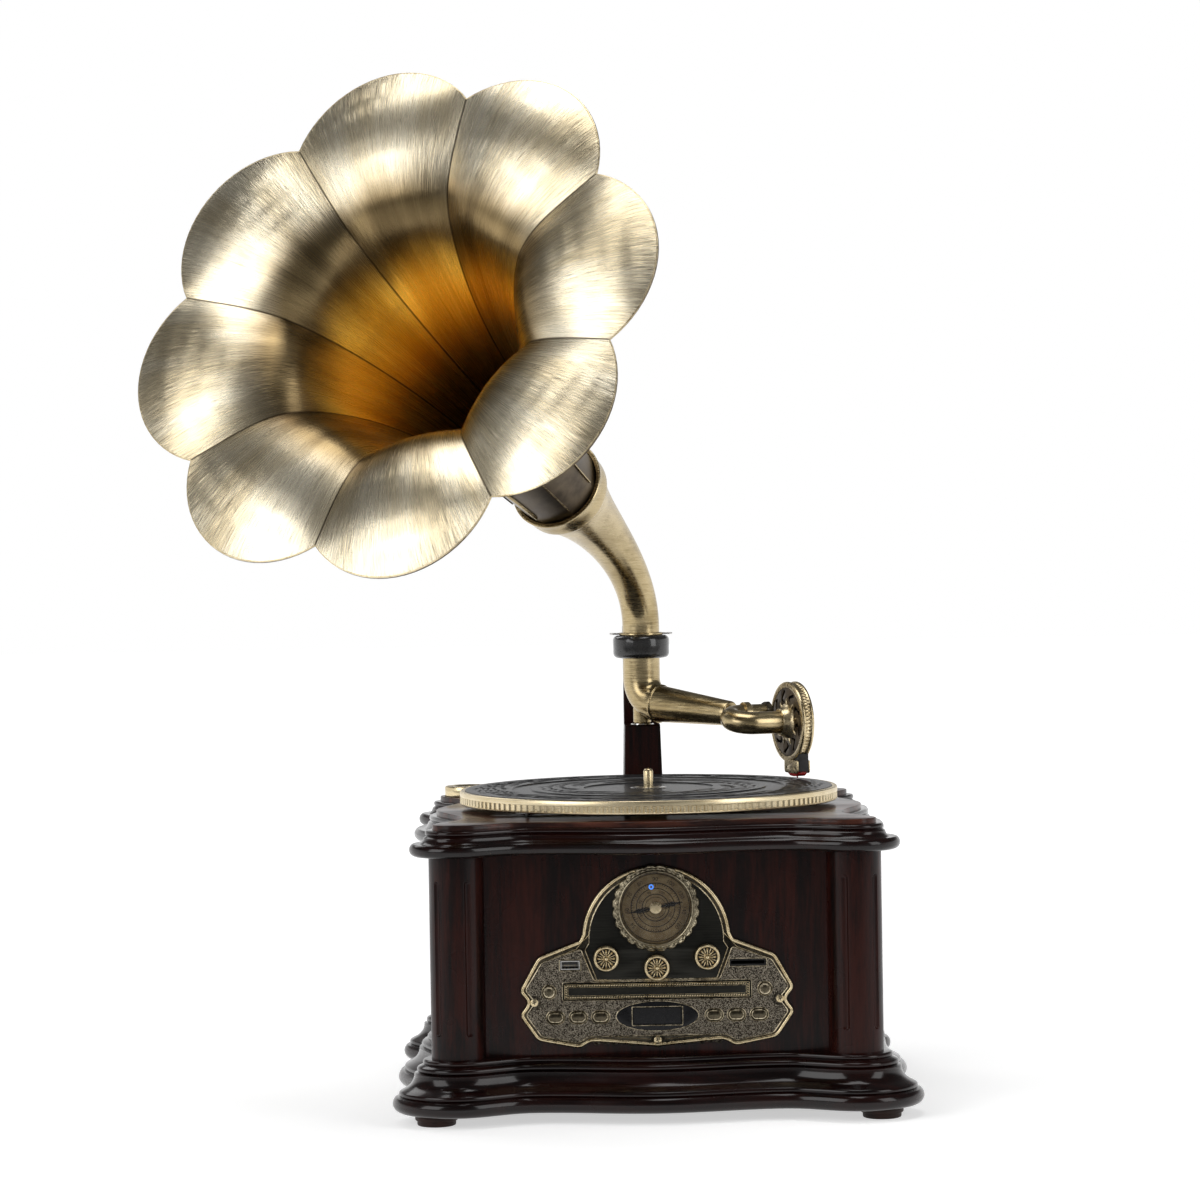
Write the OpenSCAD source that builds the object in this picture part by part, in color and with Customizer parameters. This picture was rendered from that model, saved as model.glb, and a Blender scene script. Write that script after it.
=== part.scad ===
// Table-top stereo in the form of a horn gramophone: cabinet, turntable, swinging arm and horn.
// Millimetres. The floor is z = 0, the front faces -Y, and the cabinet stands centred on the origin.

/* [Cabinet] */
// Distance of a corner column's axis from the middle of the cabinet, both ways
column_place = 143.75; // [138:0.25:180]
// Radius of a corner column
column_r = 19.75; // [16:0.25:23]
// How far the walls' outer faces lie inside the column axes
wall_set_back = 2.25; // [1:0.25:6]
// Thickness of the walls
wall_t = 12; // [8:1:16]
// Height of the feet
foot_h = 8; // [5:1:14]
// Radius of a foot
foot_r = 15.5; // [10:0.5:18]
// Height of the base moulding
base_h = 38; // [32:1:46]
// Height of the walls and columns
wall_h = 146; // [144:1:190]
// Height of the top moulding, under the deck
top_h = 19.2; // [16:0.2:24]
// Thickness of the deck's edge
deck_t = 3.8; // [3:0.2:6]
// Thickness of the block under the deck that carries the motor and the bearing
deck_block_t = 8.2; // [6:0.2:12]
// Reach of the base moulding's widest bead past the column axis
base_reach = 48.8; // [44:0.2:54]
// Reach of the top moulding's widest bead past the column axis
top_reach = 33.6; // [31:0.2:40]
// Depth of the hollow between a corner lobe and the middle of each side
lobe_hollow = 20.5; // [10:0.5:22]
// How far the middle of the front lies behind the corner lobes
front_dip = 7; // [0:0.5:12]
// Thickness of the bottom board
bottom_t = 9; // [6:1:12]

/* [Turntable] */
// Radius of the platter
platter_r = 142.5; // [115:0.5:143]
// How far the mat's edge lies inside the platter's edge
mat_inset = 4; // [3:0.5:8]
// Height of the platter's rim
platter_rim_h = 10; // [8:0.5:14]
// Gap between the deck and the platter's rim
platter_gap = 4.2; // [3:0.2:8]
// Thickness of the platter's plate, and of the mat
plate_t = 3; // [2:0.5:4]
// Radius of the spindle above the platter
spindle_r = 3.58; // [3:0.02:4]
// How much wider the spindle is where it centres the platter
boss = 0.8; // [0.5:0.1:2]
// Height of the spindle's tip above the mat
spindle_h = 14; // [10:0.5:20]
// Radius of the spindle's shaft in its bearing
shaft_r = 4; // [3:0.5:6]
// Radius of the ring under the platter that the belt drives
drive_ring_r = 92; // [70:1:100]
// Radius of the motor's pulley
pulley_r = 7; // [5:0.5:10]
// Distance from the spindle to the motor
motor_away = 112; // [108:1:116]
// Direction of the motor from the spindle
motor_turn = 215; // [200:1:240]

/* [Arm] */
// Distance of the arm's upright axis behind the rear wall's face
arm_behind = 8.5; // [7:0.5:14]
// Radius of the arm's upright tube
tube_r = 14.5; // [12:0.5:16]
// Wall of the arm's and the gooseneck's tubes
tube_wall = 1.6; // [1:0.1:2.5]
// Height of the pillar's ledge above the deck
ledge_up = 53; // [48:1:70]
// Length of the arm from its upright axis to the gooseneck's axle
arm_len = 104; // [100:1:116]
// Direction of the arm at rest
arm_turn = -41; // [-48:1:-38]
// Radius of the arm where it meets the axle ring
arm_tip_r = 8.6; // [7:0.2:10]
// Height of the gooseneck's axle above the mat
axle_up = 47.9; // [44:0.1:56]
// Direction of the gooseneck's axle
axle_turn = 21; // [18:1:24]
// Radius of the gooseneck's tube
neck_r = 8.65; // [7:0.05:9.5]
// Distance between the gooseneck's two legs
neck_span = 26.4; // [24:0.2:30]
// How far the front leg lies below the axle
neck_drop = 4.5; // [2:0.5:8]
// Distance from the axle ring to the soundbox's middle, along the axle
soundbox_out = 27.6; // [26:0.2:34]
// Radius of the soundbox
soundbox_r = 31; // [26:0.5:34]
// Thickness of the soundbox
soundbox_t = 11; // [9:0.5:14]

/* [Horn] */
// Outer radius of the collar that holds the arm and the horn
collar_r = 22.2; // [20:0.2:26]
// Height of the collar
collar_h = 18; // [14:0.5:24]
// Height of the collar's foot above the ledge
collar_up = 53; // [50:1:64]
// Azimuth of the horn, to the left of straight ahead
horn_turn = 27.3; // [0:0.1:45]
// Upward tilt of the horn's axis
horn_tilt = 25.25; // [15:0.05:40]
// Distance from the upright axis to the middle of the socket's lip
lip_out = 143.7; // [130:0.1:160]
// Height of the lip's middle above the collar's top
lip_up = 120.4; // [105:0.1:140]
// Inner radius of the socket at its lip
socket_r = 33.4; // [30:0.2:40]
// Length of the horn in front of the lip
horn_len = 277.7; // [200:0.1:300]
// How far the horn's small end reaches into the socket
horn_in = 12; // [8:1:14]
// Radius of the horn at its seams, at the mouth
seam_mouth_r = 177; // [140:1:190]
// Radius at the middle of a petal's edge
petal_r = 205; // [160:1:215]
// How far the middle of a petal stands up from its seams
petal_swell = 13; // [0:1:18]
// Number of petals
petals = 8; // [6:1:10]
// Thickness of the horn's sheet metal
horn_wall = 1.2; // [1:0.1:2]

/* [Control plate] */
// Thickness of the control plate
face_t = 3.5; // [2.5:0.5:5]
// Height of the plate's foot above the base moulding
plate_up = 5; // [4:0.5:10]
// Radius of the plate's round top
dome_r = 54; // [52:0.5:58]
// Radius of the dial's bezel
bezel_r = 31.7; // [29:0.1:34]
// Radius of the dial's window
window_r = 25.4; // [22:0.1:27]
// Radius of the three control knobs
knob_r = 9.25; // [8:0.25:10]
// Width of the disc tray's front
tray_w = 134.8; // [130:0.1:138]
// Height of the disc tray's front
tray_h = 11.6; // [10:0.1:13]
// Length of the disc tray
tray_len = 165; // [160:1:200]
// Radius of the tray's well for a disc
well_r = 60.3; // [60.1:0.1:61]
// Width of an oval button
button_w = 11.6; // [9:0.1:13]
// Height of an oval button
button_h = 7.6; // [6:0.1:8]
// How far a button stands out of the plate
button_out = 2.2; // [1.8:0.1:3]
// Radius of the speaker cones' openings
speaker_r = 40; // [30:1:44]

/* [Hidden] */
$fn = 72;
running = 0.05;
clear = 0.3;
seat = 0.1;
cut = 1;

// Heights that follow from the stack of the cabinet
z_wall = foot_h + base_h;
z_top = z_wall + wall_h;
z_under = z_top + top_h;
z_deck = z_under + deck_t;
z_rim = z_deck + platter_gap;
z_mat = z_rim + platter_rim_h + 0.4;
z_plate = z_mat - 2 * plate_t;
z_ledge = z_deck + ledge_up;
z_collar = z_ledge + collar_up;
z_collar_top = z_collar + collar_h;
z_axle = z_mat + axle_up;
z_lip = z_collar_top + lip_up;

// Faces of the walls
wall_out = column_place - wall_set_back;
wall_in = wall_out - wall_t;
face_y = -wall_out - face_t;

// Inner openings of the mouldings
frame_in = wall_in - 1.5;
frame_corner = 6;
arm_y = wall_out + arm_behind;
mat_r = platter_r - mat_inset;
bore_clear = shaft_r + running;

// The pillar behind the arm
pillar_w = 31;
pillar_top_w = 28;
pillar_back = arm_y + collar_r + 16;
pillar_foot = z_wall + 60;
post_front = arm_y + collar_r + clear;
notch = pillar_w + 0.4;

// The arm's elbow and the gooseneck, whose frame has its origin on the axle
arm_bend = 20;
arm_tilt = 5;
z_bend = z_axle + arm_bend * cos(arm_tilt)
    + (arm_len - arm_bend + arm_bend * sin(arm_tilt)) * tan(arm_tilt);
ring_half = 2.75;
neck_bend = neck_span / 2;
neck_left = -ring_half - 0.75;
neck_tilt = asin(neck_drop / neck_span);
box_back = soundbox_out - soundbox_t / 2;
box_front = soundbox_out + soundbox_t / 2;

// Places on the control plate, measured from the plate's foot
z_foot = z_wall + plate_up;
z_dial = z_foot + 101;
z_side_knob = z_foot + 65.6;
z_tune_knob = z_foot + 58.4;
z_tray = z_foot + 41.5;
z_keys = z_foot + 22.9;
z_ports = z_foot + 60.6;
side_knob_x = 36.5;
key_x = [41, 57.2, 73.6];
round_x = 78;
usb_x = -62.5;
card_x = 65.9;
usb_size = [14, 6.4];
card_size = [25.6, 4.2];
display_size = [35.7, 12.7];
plate_screws_at = [[-88.8, 34], [88.8, 34], [0, 5.4]];
round_key_r = 4.3;
key_travel = 1.2;
key_flange = 1;
switch_h = 3.4;
key_gap = 0.25;
opening_w = 84.5;
knob_shaft_r = 3;
pot_r = 8.5;
board_y = -wall_out + 11;
board_t = 1.6;
drive_front = -wall_out + 14;
drive_wall = 2;
drive_w = 2 * well_r + 12;
drive_low = z_tray - 7.5;
drive_high = z_tray + 9;
tray_t = 2.6;
tray_low = drive_low + drive_wall + clear;
well_y = -wall_out + 5.5 + well_r;
tray_panel_w = drive_w - 2 * drive_wall - 1;
tray_back = -wall_out + tray_len;
speaker_z = z_wall + 80;
adapter_at = [-(column_place - 6.25), column_place - 6.25, 0];
adapter_r = 19.05;
adapter_h = 9.6;
recess = 1.5;

// Points of an arc: centre, radius, start and end angle, and the number of steps
function arc(c, r, a0, a1, n) =
    [for (i = [0:n]) let (a = a0 + (a1 - a0) * i / n) c + r * [cos(a), sin(a)]];

// How far a side lies behind the corner lobes, at a place u along it
function wave(u, middle) =
    let (x = abs(u), deep = column_place * 0.63)
    x < deep
        ? middle + (lobe_hollow - middle) * (1 - cos(180 * x / deep)) / 2
        : lobe_hollow * (1 + cos(180 * (x - deep) / (column_place - deep))) / 2;

function turned(path, a) =
    [for (p = path) [p.x * cos(a) - p.y * sin(a), p.x * sin(a) + p.y * cos(a)]];

// Points of one side facing -Y, at shares us of its half length
function side(us, half, reach, middle, wavy) =
    [for (u = us) [u * half, (wavy ? wave(u * half, middle) : 0) - half - reach]];

// Outline of the cabinet at a reach past the column axes, from the middle of the back all round.
// The back has a gap for the pillar, open to gap on each side; a plain outline has no hollows.
function outline(half, reach, gap = 0, wavy = true) =
    let (
        n = 8,
        g = gap / half,
        whole = [for (i = [-n:n - 1]) i / n],
        second = [for (i = [0:n - 1]) g + (1 - g) * i / n],
        first = [for (i = [0:gap > 0 ? n : n - 1]) -1 + (1 - g) * i / n],
        corner = arc([half, -half], reach, -90, -18, 4),
        plain_side = concat(side(whole, half, reach, 0, wavy), corner),
        front_side = concat(side(whole, half, reach, front_dip, wavy), corner)
    )
    concat(
        turned(concat(side(second, half, reach, 0, wavy), corner), 180),
        turned(plain_side, 270),
        front_side,
        turned(plain_side, 90),
        turned(side(first, half, reach, 0, wavy), 180));

// Solid between neighbouring sections, each a closed loop of points
module skin(sections, closed) {
    n = len(sections);
    m = len(sections[0]);
    last = closed ? n - 1 : n - 2;
    points = [for (s = sections) each s];
    walls = [for (i = [0:last]) for (j = [0:m - 1])
        let (a = i * m + j, b = i * m + (j + 1) % m, c = ((i + 1) % n) * m + j,
            d = ((i + 1) % n) * m + (j + 1) % m)
        each [[a, b, d], [a, d, c]]];
    ends = closed ? [] : [[for (j = [m - 1:-1:0]) j], [for (j = [0:m - 1]) (n - 1) * m + j]];
    polyhedron(points = points, faces = concat(walls, ends), convexity = 8);
}

// A moulding: profile points [reach, z] from the top down, swept round the cabinet's outline
module moulding(profile, low, high, gap) {
    rings = [for (p = profile) outline(column_place, p[0], gap)];
    inner = outline(frame_in - frame_corner, frame_corner, gap, false);
    sections = [for (i = [0:len(inner) - 1]) concat(
        [[inner[i].x, inner[i].y, high], [inner[i].x, inner[i].y, low]],
        [for (j = [len(profile) - 1:-1:0]) [rings[j][i].x, rings[j][i].y, profile[j][1]]])];
    skin(sections, gap == 0);
}

// Copies at the four corners, at a distance along both axes
module at_corners(d) {
    for (x = [-1, 1]) for (y = [-1, 1]) translate([x * d, y * d, 0]) children();
}

// A plate in the XZ plane from y0 to y1, drawn as [x, z]
module upright(y0, y1) {
    translate([0, y1, 0]) rotate([90, 0, 0]) linear_extrude(y1 - y0) children();
}

// A round bar or hole along Y, from y0 to y1
module bar_y(x, z, y0, y1, r) {
    translate([x, y1, z]) rotate([90, 0, 0]) cylinder(h = y1 - y0, r = r);
}

module block(x0, x1, y0, y1, z0, z1) {
    translate([x0, y0, z0]) cube([x1 - x0, y1 - y0, z1 - z0]);
}

module oval(w, h) {
    square([w - h, h], center = true);
    for (x = [-1, 1]) translate([x * (w - h) / 2, 0]) circle(d = h);
}

// Cabinet

module feet() {
    color("#1d0907") at_corners(column_place + 16.5) {
        cylinder(h = foot_h * 0.45, r = foot_r - 1.5);
        translate([0, 0, foot_h * 0.45]) cylinder(h = foot_h * 0.55, r = foot_r);
    }
}

module base_moulding() {
    t = z_wall;
    b = foot_h;
    r = base_reach;
    profile = concat(
        arc([r - 24.4, t - 2], 2, 90, -50, 3),
        arc([r - 20.4, t - 7.2], 2.3, 60, -60, 3),
        arc([r - 4.2, t - 10], 12, 180, 240, 3),
        arc([r - 7.2, b + 13.2], 2.6, 50, -40, 2),
        arc([r - 6.2, b + 6.2], 6.2, 50, -90, 4));
    color("#2a0d0a") moulding(profile, b, t, 0);
}

// The opening inside the mouldings, less a seating gap
module inside_frame() {
    polygon(outline(frame_in - frame_corner, frame_corner - seat, 0, false));
}

module bottom_board() {
    color("#6b4a33") difference() {
        translate([0, 0, z_wall - bottom_t]) linear_extrude(bottom_t) inside_frame();
        for (x = [-1, 1]) for (y = [-2:2])
            translate([x * 60, y * 16, z_wall - bottom_t - cut]) cylinder(h = bottom_t + 2 * cut, r = 4);
    }
}

module corner_columns() {
    flute_r = 2.2;
    flute_end = 17;
    color("#2e0e0a") for (x = [-1, 1]) for (y = [-1, 1]) mirror([x < 0 ? 1 : 0, 0, 0])
        mirror([0, y < 0 ? 1 : 0, 0]) difference() {
            translate([column_place, column_place, z_wall]) cylinder(h = wall_h, r = column_r);
            block(0, wall_out, 0, wall_out, z_wall - cut, z_top + cut);
            for (a = [-25, 45, 115]) translate([column_place, column_place, 0]) rotate([0, 0, a])
                translate([column_r + 0.6, 0, z_wall + flute_end])
                    cylinder(h = wall_h - 2 * flute_end, r = flute_r, $fn = 24);
        }
}

module front_panel() {
    color("#34100b") difference() {
        block(-wall_out, wall_out, -wall_out, -wall_in, z_wall, z_top);
        upright(-wall_out - cut, -wall_in + cut) {
            translate([-opening_w, z_foot + 9]) square([2 * opening_w, 56]);
            translate([-47, z_foot + 50]) square([94, 26]);
            translate([-20, z_foot + 70]) square([40, 20]);
            translate([0, z_dial]) circle(r = bezel_r - 1.5);
            for (p = plate_screws_at) translate([p.x, z_foot + p.y]) circle(r = 1.6);
        }
    }
}

module side_panels() {
    color("#34100b") for (x = [-1, 1]) difference() {
        block(x > 0 ? wall_in : -wall_out, x > 0 ? wall_out : -wall_in, -wall_in, wall_in,
            z_wall, z_top);
        translate([x * (wall_in - cut), 0, speaker_z]) rotate([0, x * 90, 0])
            cylinder(h = wall_t + 2 * cut, r = speaker_r);
    }
}

module rear_panel() {
    color("#34100b") difference() {
        block(-wall_out, wall_out, wall_in, wall_out, z_wall, z_top);
        block(-105, -35, wall_in - cut, wall_out + cut, z_wall + 20, z_wall + 60);
        for (x = [-1, 1]) for (z = [0, 1])
            bar_y(x * 9, pillar_foot + 15 + 45 * z, wall_in - cut, wall_out + cut, 2);
    }
}

module top_moulding() {
    b = z_top;
    r = top_reach;
    profile = concat(
        [[r - 14.5, z_under]],
        arc([r - 13.8, z_under - 2.1], 2.1, 60, -60, 3),
        arc([r - 4.6, z_under - 4.4], 6.2, 190, 240, 2),
        arc([r - 4.9, b + 5.2], 4.9, 60, -90, 5));
    color("#2a0d0a") moulding(profile, b, z_under, notch / 2);
}

module deck_board() {
    motor_x = motor_away * cos(motor_turn);
    motor_y = motor_away * sin(motor_turn);
    edge = outline(column_place, top_reach - 17, notch / 2);
    notched = concat(edge, [[notch / 2, arm_y - 5.2], [-notch / 2, arm_y - 5.2]]);
    color("#4a2415") difference() {
        union() {
            translate([0, 0, z_under]) linear_extrude(deck_t) polygon(notched);
            translate([0, 0, z_under - deck_block_t]) linear_extrude(deck_block_t + 0.5)
                inside_frame();
        }
        translate([0, 0, z_under - deck_block_t - cut])
            cylinder(h = deck_block_t + deck_t + 2 * cut, r = shaft_r + 4 + seat);
        translate([motor_x, motor_y, z_under - deck_block_t - cut])
            cylinder(h = deck_block_t + deck_t + 2 * cut, r = 5);
        translate([0, 0, z_deck - recess] + adapter_at)
            cylinder(h = recess + cut, r = adapter_r + clear);
    }
}

module arm_pillar() {
    w = pillar_w / 2;
    v = pillar_top_w / 2;
    color("#3a130c") difference() {
        union() {
            block(-w, w, wall_out, pillar_back, pillar_foot, z_under - seat);
            block(-w, w, frame_in + seat, wall_out + 1, z_top + seat, z_under - seat);
            upright(arm_y - 5, pillar_back) polygon([[-w, z_under - 1], [w, z_under - 1],
                [w, z_deck], [v, z_ledge], [-v, z_ledge], [-w, z_deck]]);
            block(-v, v, post_front, pillar_back, z_ledge - 1, z_collar_top);
            block(-v, v, post_front + 4, pillar_back, z_collar_top - 1, z_collar_top + 6);
        }
        translate([0, arm_y, z_ledge - 14]) cylinder(h = 14 + cut, r = 4 + seat);
        for (x = [-1, 1]) for (z = [0, 1])
            bar_y(x * 9, pillar_foot + 15 + 45 * z, wall_out - cut, wall_out + 20, 2);
    }
}

module horn_collar() {
    r = collar_r;
    h = collar_h;
    bore = tube_r + running;
    color("#141312") difference() {
        union() {
            translate([0, arm_y, z_collar]) rotate_extrude() polygon(concat(
                [[bore, 0]], arc([r - 3.6, 3], 3, -90, 0, 3), arc([r - 3.6, h - 3], 3, 0, 90, 3),
                [[bore, h]]));
            translate([0, arm_y, z_collar + 2]) cylinder(h = h - 4, r = r);
            block(-8, 8, arm_y + r - 3, post_front, z_collar + 3, z_collar_top - 3);
        }
        translate([0, arm_y, z_collar - cut]) cylinder(h = h + 2 * cut, r = bore);
    }
}

module lower_pivot() {
    color("#c9c5bb") translate([0, arm_y, z_ledge]) {
        translate([0, 0, -14]) cylinder(h = 14, r = 4);
        cylinder(h = 1.5, r = 9);
        cylinder(h = 5.5, r = 3);
    }
}

// A wood screw whose head lies at the origin and whose shank runs along -Z
module screw(length, head_r, shank_r) {
    cylinder(h = head_r * 0.55, r = head_r);
    translate([0, 0, -length]) cylinder(h = length, r = shank_r);
}

module screws() {
    color("#c9b27a") {
        for (p = plate_screws_at) on_plate(p.x, z_foot + p.y) screw(face_t + 8, 3, 1.5);
        for (x = [-1, 1]) for (z = [0, 1])
            translate([x * 9, wall_in, pillar_foot + 15 + 45 * z]) rotate([90, 0, 0])
                screw(wall_t + 18, 3.6, 1.9);
    }
}

// Control plate

// A child drawn at a place on the plate's front face, with +Z standing out of it
module on_plate(x, z) {
    translate([x, face_y, z]) rotate([90, 0, 0]) children();
}

module plate_outline() {
    wing = [[48, 5], [56, 0], [87, 6], [100, 25], [93, 34], [100, 42], [86, 67], [dome_r, 79]];
    polygon(concat([[0, 0.5]], wing, arc([0, 78], dome_r, 1, 179, 24), flip_x(wing)));
}

function flip_x(path) = [for (i = [len(path) - 1:-1:0]) [-path[i].x, path[i].y]];

module control_plate() {
    gap = key_gap;
    color("#4c4234") difference() {
        translate([0, -wall_out, z_foot]) rotate([90, 0, 0]) linear_extrude(face_t)
            difference() {
                plate_outline();
                translate([0, z_dial - z_foot]) circle(r = bezel_r - 2.5);
                for (p = knob_places()) translate([p.x, p.y - z_foot]) circle(r = 3.7);
                translate([0, z_tray - z_foot])
                    square([tray_w + 2 * gap, tray_h + 2 * gap], center = true);
                translate([0, z_keys - z_foot]) square(display_size, center = true);
                for (x = [-1, 1]) {
                    for (k = key_x) translate([x * k, z_keys - z_foot])
                        oval(button_w + 2 * gap, button_h + 2 * gap);
                    translate([x * round_x, z_tray - z_foot]) circle(r = round_key_r + gap);
                }
                translate([usb_x, z_ports - z_foot])
                    square([usb_size.x + 2 * seat, usb_size.y + 2 * seat], center = true);
                translate([card_x, z_ports - z_foot])
                    square([card_size.x + 2 * seat, card_size.y + 2 * seat], center = true);
                for (p = plate_screws_at) translate(p) circle(r = 1.6);
            }
    }
}

function knob_places() =
    [[-side_knob_x, z_side_knob], [0, z_tune_knob], [side_knob_x, z_side_knob]];

module dial_card() {
    color("#b9a56d") on_plate(0, z_dial) translate([0, 0, -face_t]) difference() {
        cylinder(h = 0.6, r = bezel_r - 3.9);
        translate([0, 0, -cut]) cylinder(h = 3, r = 1.8);
    }
}

module dial_bezel() {
    out = 3.4;
    color("#a9925a") on_plate(0, z_dial) rotate_extrude() polygon([
        [bezel_r - 3.8, -face_t], [bezel_r - 2.6, -face_t], [bezel_r - 2.6, 0], [bezel_r, 0],
        [bezel_r, out - 1.4], [bezel_r - 1.4, out], [window_r + 1, out], [window_r, out - 2],
        [window_r, 0], [bezel_r - 3.8, 0]]);
}

module dial_lens() {
    color("#dfe6e4", 0.35) on_plate(0, z_dial) translate([0, 0, -1.5])
        cylinder(h = 1.4, r = bezel_r - 3.9);
}

module display_window() {
    module_d = 11 - seat;
    color("#151a1c") on_plate(0, z_keys) {
        translate([-display_size.x / 2 + seat, -display_size.y / 2 + seat, -face_t - 1])
            cube([display_size.x - 2 * seat, display_size.y - 2 * seat, face_t + 0.4]);
        translate([-20, -8.5, -face_t - module_d]) cube([40, 17, module_d - seat]);
    }
}

// A metal shell open to the front: its outer size, wall and depth behind the plate
module socket(size, wall, depth) {
    low = -face_t - depth;
    high = 0.3;
    difference() {
        translate([-size.x / 2, -size.y / 2, low]) cube([size.x, size.y, high - low]);
        translate([-size.x / 2 + wall.x, -size.y / 2 + wall.y, low + 1.5])
            cube([size.x - 2 * wall.x, size.y - 2 * wall.y, high - low]);
    }
}

module usb_socket() {
    color("#c4c2bc") on_plate(usb_x, z_ports) socket(usb_size, [0.8, 0.8], 14);
}

module card_socket() {
    color("#2b2a28") on_plate(card_x, z_ports) socket(card_size, [0.6, 0.7], 24);
}

module control_board() {
    top = 10;
    color("#1f4a2b") {
        block(-83, 83, board_y, board_y + board_t, z_keys - 11, z_keys + top);
        for (x = [-1, 1]) {
            block(x > 0 ? 72 : -83, x > 0 ? 83 : -72, board_y, board_y + board_t,
                z_keys + top - 1, z_tray + 6);
            for (k = key_x) block(x * k - 3, x * k + 3, board_y - switch_h, board_y,
                z_keys - 3, z_keys + 3);
            block(x * round_x - 3, x * round_x + 3, board_y - switch_h, board_y,
                z_tray - 3, z_tray + 3);
            for (z = [-7, 6]) bar_y(x * 30, z_keys + z, -wall_out, board_y, 3);
        }
    }
}

module rotary_controls() {
    depth = 10.9;
    color("#8d8a83") difference() {
        union() {
            for (p = knob_places()) {
                bar_y(p.x, p.y, face_y - 0.6, -wall_out + seat, 3.6);
                bar_y(p.x, p.y, -wall_out + seat, -wall_out + depth, pot_r);
            }
            block(-18, 18, -wall_out + seat, -wall_out + 30, z_dial - 18, z_dial + 18);
        }
        for (p = knob_places())
            bar_y(p.x, p.y, face_y - cut, -wall_out + depth - 1, knob_shaft_r + running);
        bar_y(0, z_dial, -wall_out - cut, -wall_out + 12, 1.5 + running);
    }
}

module disc_drive() {
    w = drive_w / 2;
    back = tray_back + 8;
    color("#5c5e60") difference() {
        union() {
            block(-w, w, drive_front, back, drive_low, drive_high);
            for (x = [-50, 50]) for (y = [drive_front + 14, back - 14])
                translate([x, y, z_wall]) cylinder(h = drive_low - z_wall + 1, r = 3.5);
        }
        block(-w + drive_wall, w - drive_wall, drive_front - cut, back - drive_wall,
            drive_low + drive_wall, drive_high - drive_wall);
    }
}

module main_board() {
    h = 9;
    color("#23502f") {
        for (x = [-28, 84]) for (y = [50, 114])
            translate([x, y, z_wall]) cylinder(h = h, r = 3);
        block(-35, 92, 44, 120, z_wall + h, z_wall + h + 1.6);
        for (x = [-18, 2]) translate([x, 62, z_wall + h + 1]) cylinder(h = 26, r = 8);
        for (i = [0:7]) block(40 + i * 6, 42 + i * 6, 96, 116, z_wall + h + 1, z_wall + h + 26);
        block(40, 84, 96, 116, z_wall + h + 1, z_wall + h + 5);
    }
}

module power_transformer() {
    color("#6d6a66") {
        block(-112, -62, 62, 102, z_wall, z_wall + 42);
        block(-106, -68, 55, 109, z_wall + 7, z_wall + 35);
    }
}

module speakers() {
    r = speaker_r;
    color("#1b1b1c") for (x = [-1, 1])
        translate([x * wall_in, 0, speaker_z]) rotate([0, -x * 90, 0]) rotate_extrude()
            polygon([[r - 3, 0], [r + 6, 0], [r + 6, 3], [r, 3], [r / 2, 22], [r * 0.66, 22],
                [r * 0.66, 36], [0, 36], [0, 17], [r * 0.28, 18]]);
}

module speaker_grilles() {
    bars = 4;
    pitch = 8;
    r = speaker_r + 7;
    color("#8b7445") for (x = [-1, 1])
        translate([x * wall_out, 0, speaker_z]) rotate([0, x * 90, 0]) linear_extrude(2.5)
            difference() {
                circle(r = r);
                for (i = [-bars:bars]) let (half = sqrt((r - 6) ^ 2 - (abs(i) * pitch + 2) ^ 2))
                    translate([i * pitch, 0]) square([4, 2 * half], center = true);
            }
}

module rear_sockets() {
    z0 = z_wall + 15;
    y = wall_out;
    color("#202020") difference() {
        union() {
            block(-110, -30, y, y + 2, z0, z0 + 50);
            block(-104, -36, y - 8, y, z0 + 6, z0 + 44);
            for (x = [-62, -48]) for (z = [16, 32]) bar_y(x, z0 + z, y, y + 10, 4.2);
            bar_y(-78, z0 + 24, y, y + 5, 6);
        }
        for (x = [-62, -48]) for (z = [16, 32]) bar_y(x, z0 + z, y - 2, y + 11, 1.7);
        bar_y(-78, z0 + 24, y - 6, y + 6, 3);
        block(-102, -89, y - 7, y + 3, z0 + 12, z0 + 36);
        translate([-103.5, y + 1, z0 + 24]) rotate([0, 90, 0]) cylinder(h = 16, r = 1.25);
    }
}

module power_switch() {
    color("#101010") translate([-95.5, wall_out + 1, z_wall + 39]) rotate([-8, 0, 0]) {
        block(-6, 6, -4.5, 3.5, -8.5, 8.5);
        translate([-7.6, 0, 0]) rotate([0, 90, 0]) cylinder(h = 15.2, r = 1.2);
    }
}

// Turntable

module turntable_motor() {
    color("#9a9894") translate([motor_away * cos(motor_turn), motor_away * sin(motor_turn),
        z_under - deck_block_t - 27]) difference() {
        cylinder(h = 27, r = 17);
        translate([0, 0, 3]) cylinder(h = 27, r = 1.5 + running);
    }
}

module platter_bearing() {
    color("#b08d4a") difference() {
        union() {
            translate([0, 0, z_deck]) cylinder(h = 1.5, r = 14);
            translate([0, 0, z_deck - 35]) cylinder(h = 35.5, r = shaft_r + 4);
        }
        translate([0, 0, z_deck - 31]) cylinder(h = 40, r = bore_clear);
    }
}

module drive_belt() {
    h = 3.6;
    t = 1.2;
    color("#1a1a1a") translate([0, 0, z_rim - 1.1]) linear_extrude(h) difference() {
        belt_loop(clear + t);
        belt_loop(clear);
    }
}

module belt_loop(out) {
    hull() {
        circle(r = drive_ring_r + out, $fn = 120);
        rotate(motor_turn) translate([motor_away, 0]) circle(r = pulley_r + out, $fn = 48);
    }
}

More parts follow.
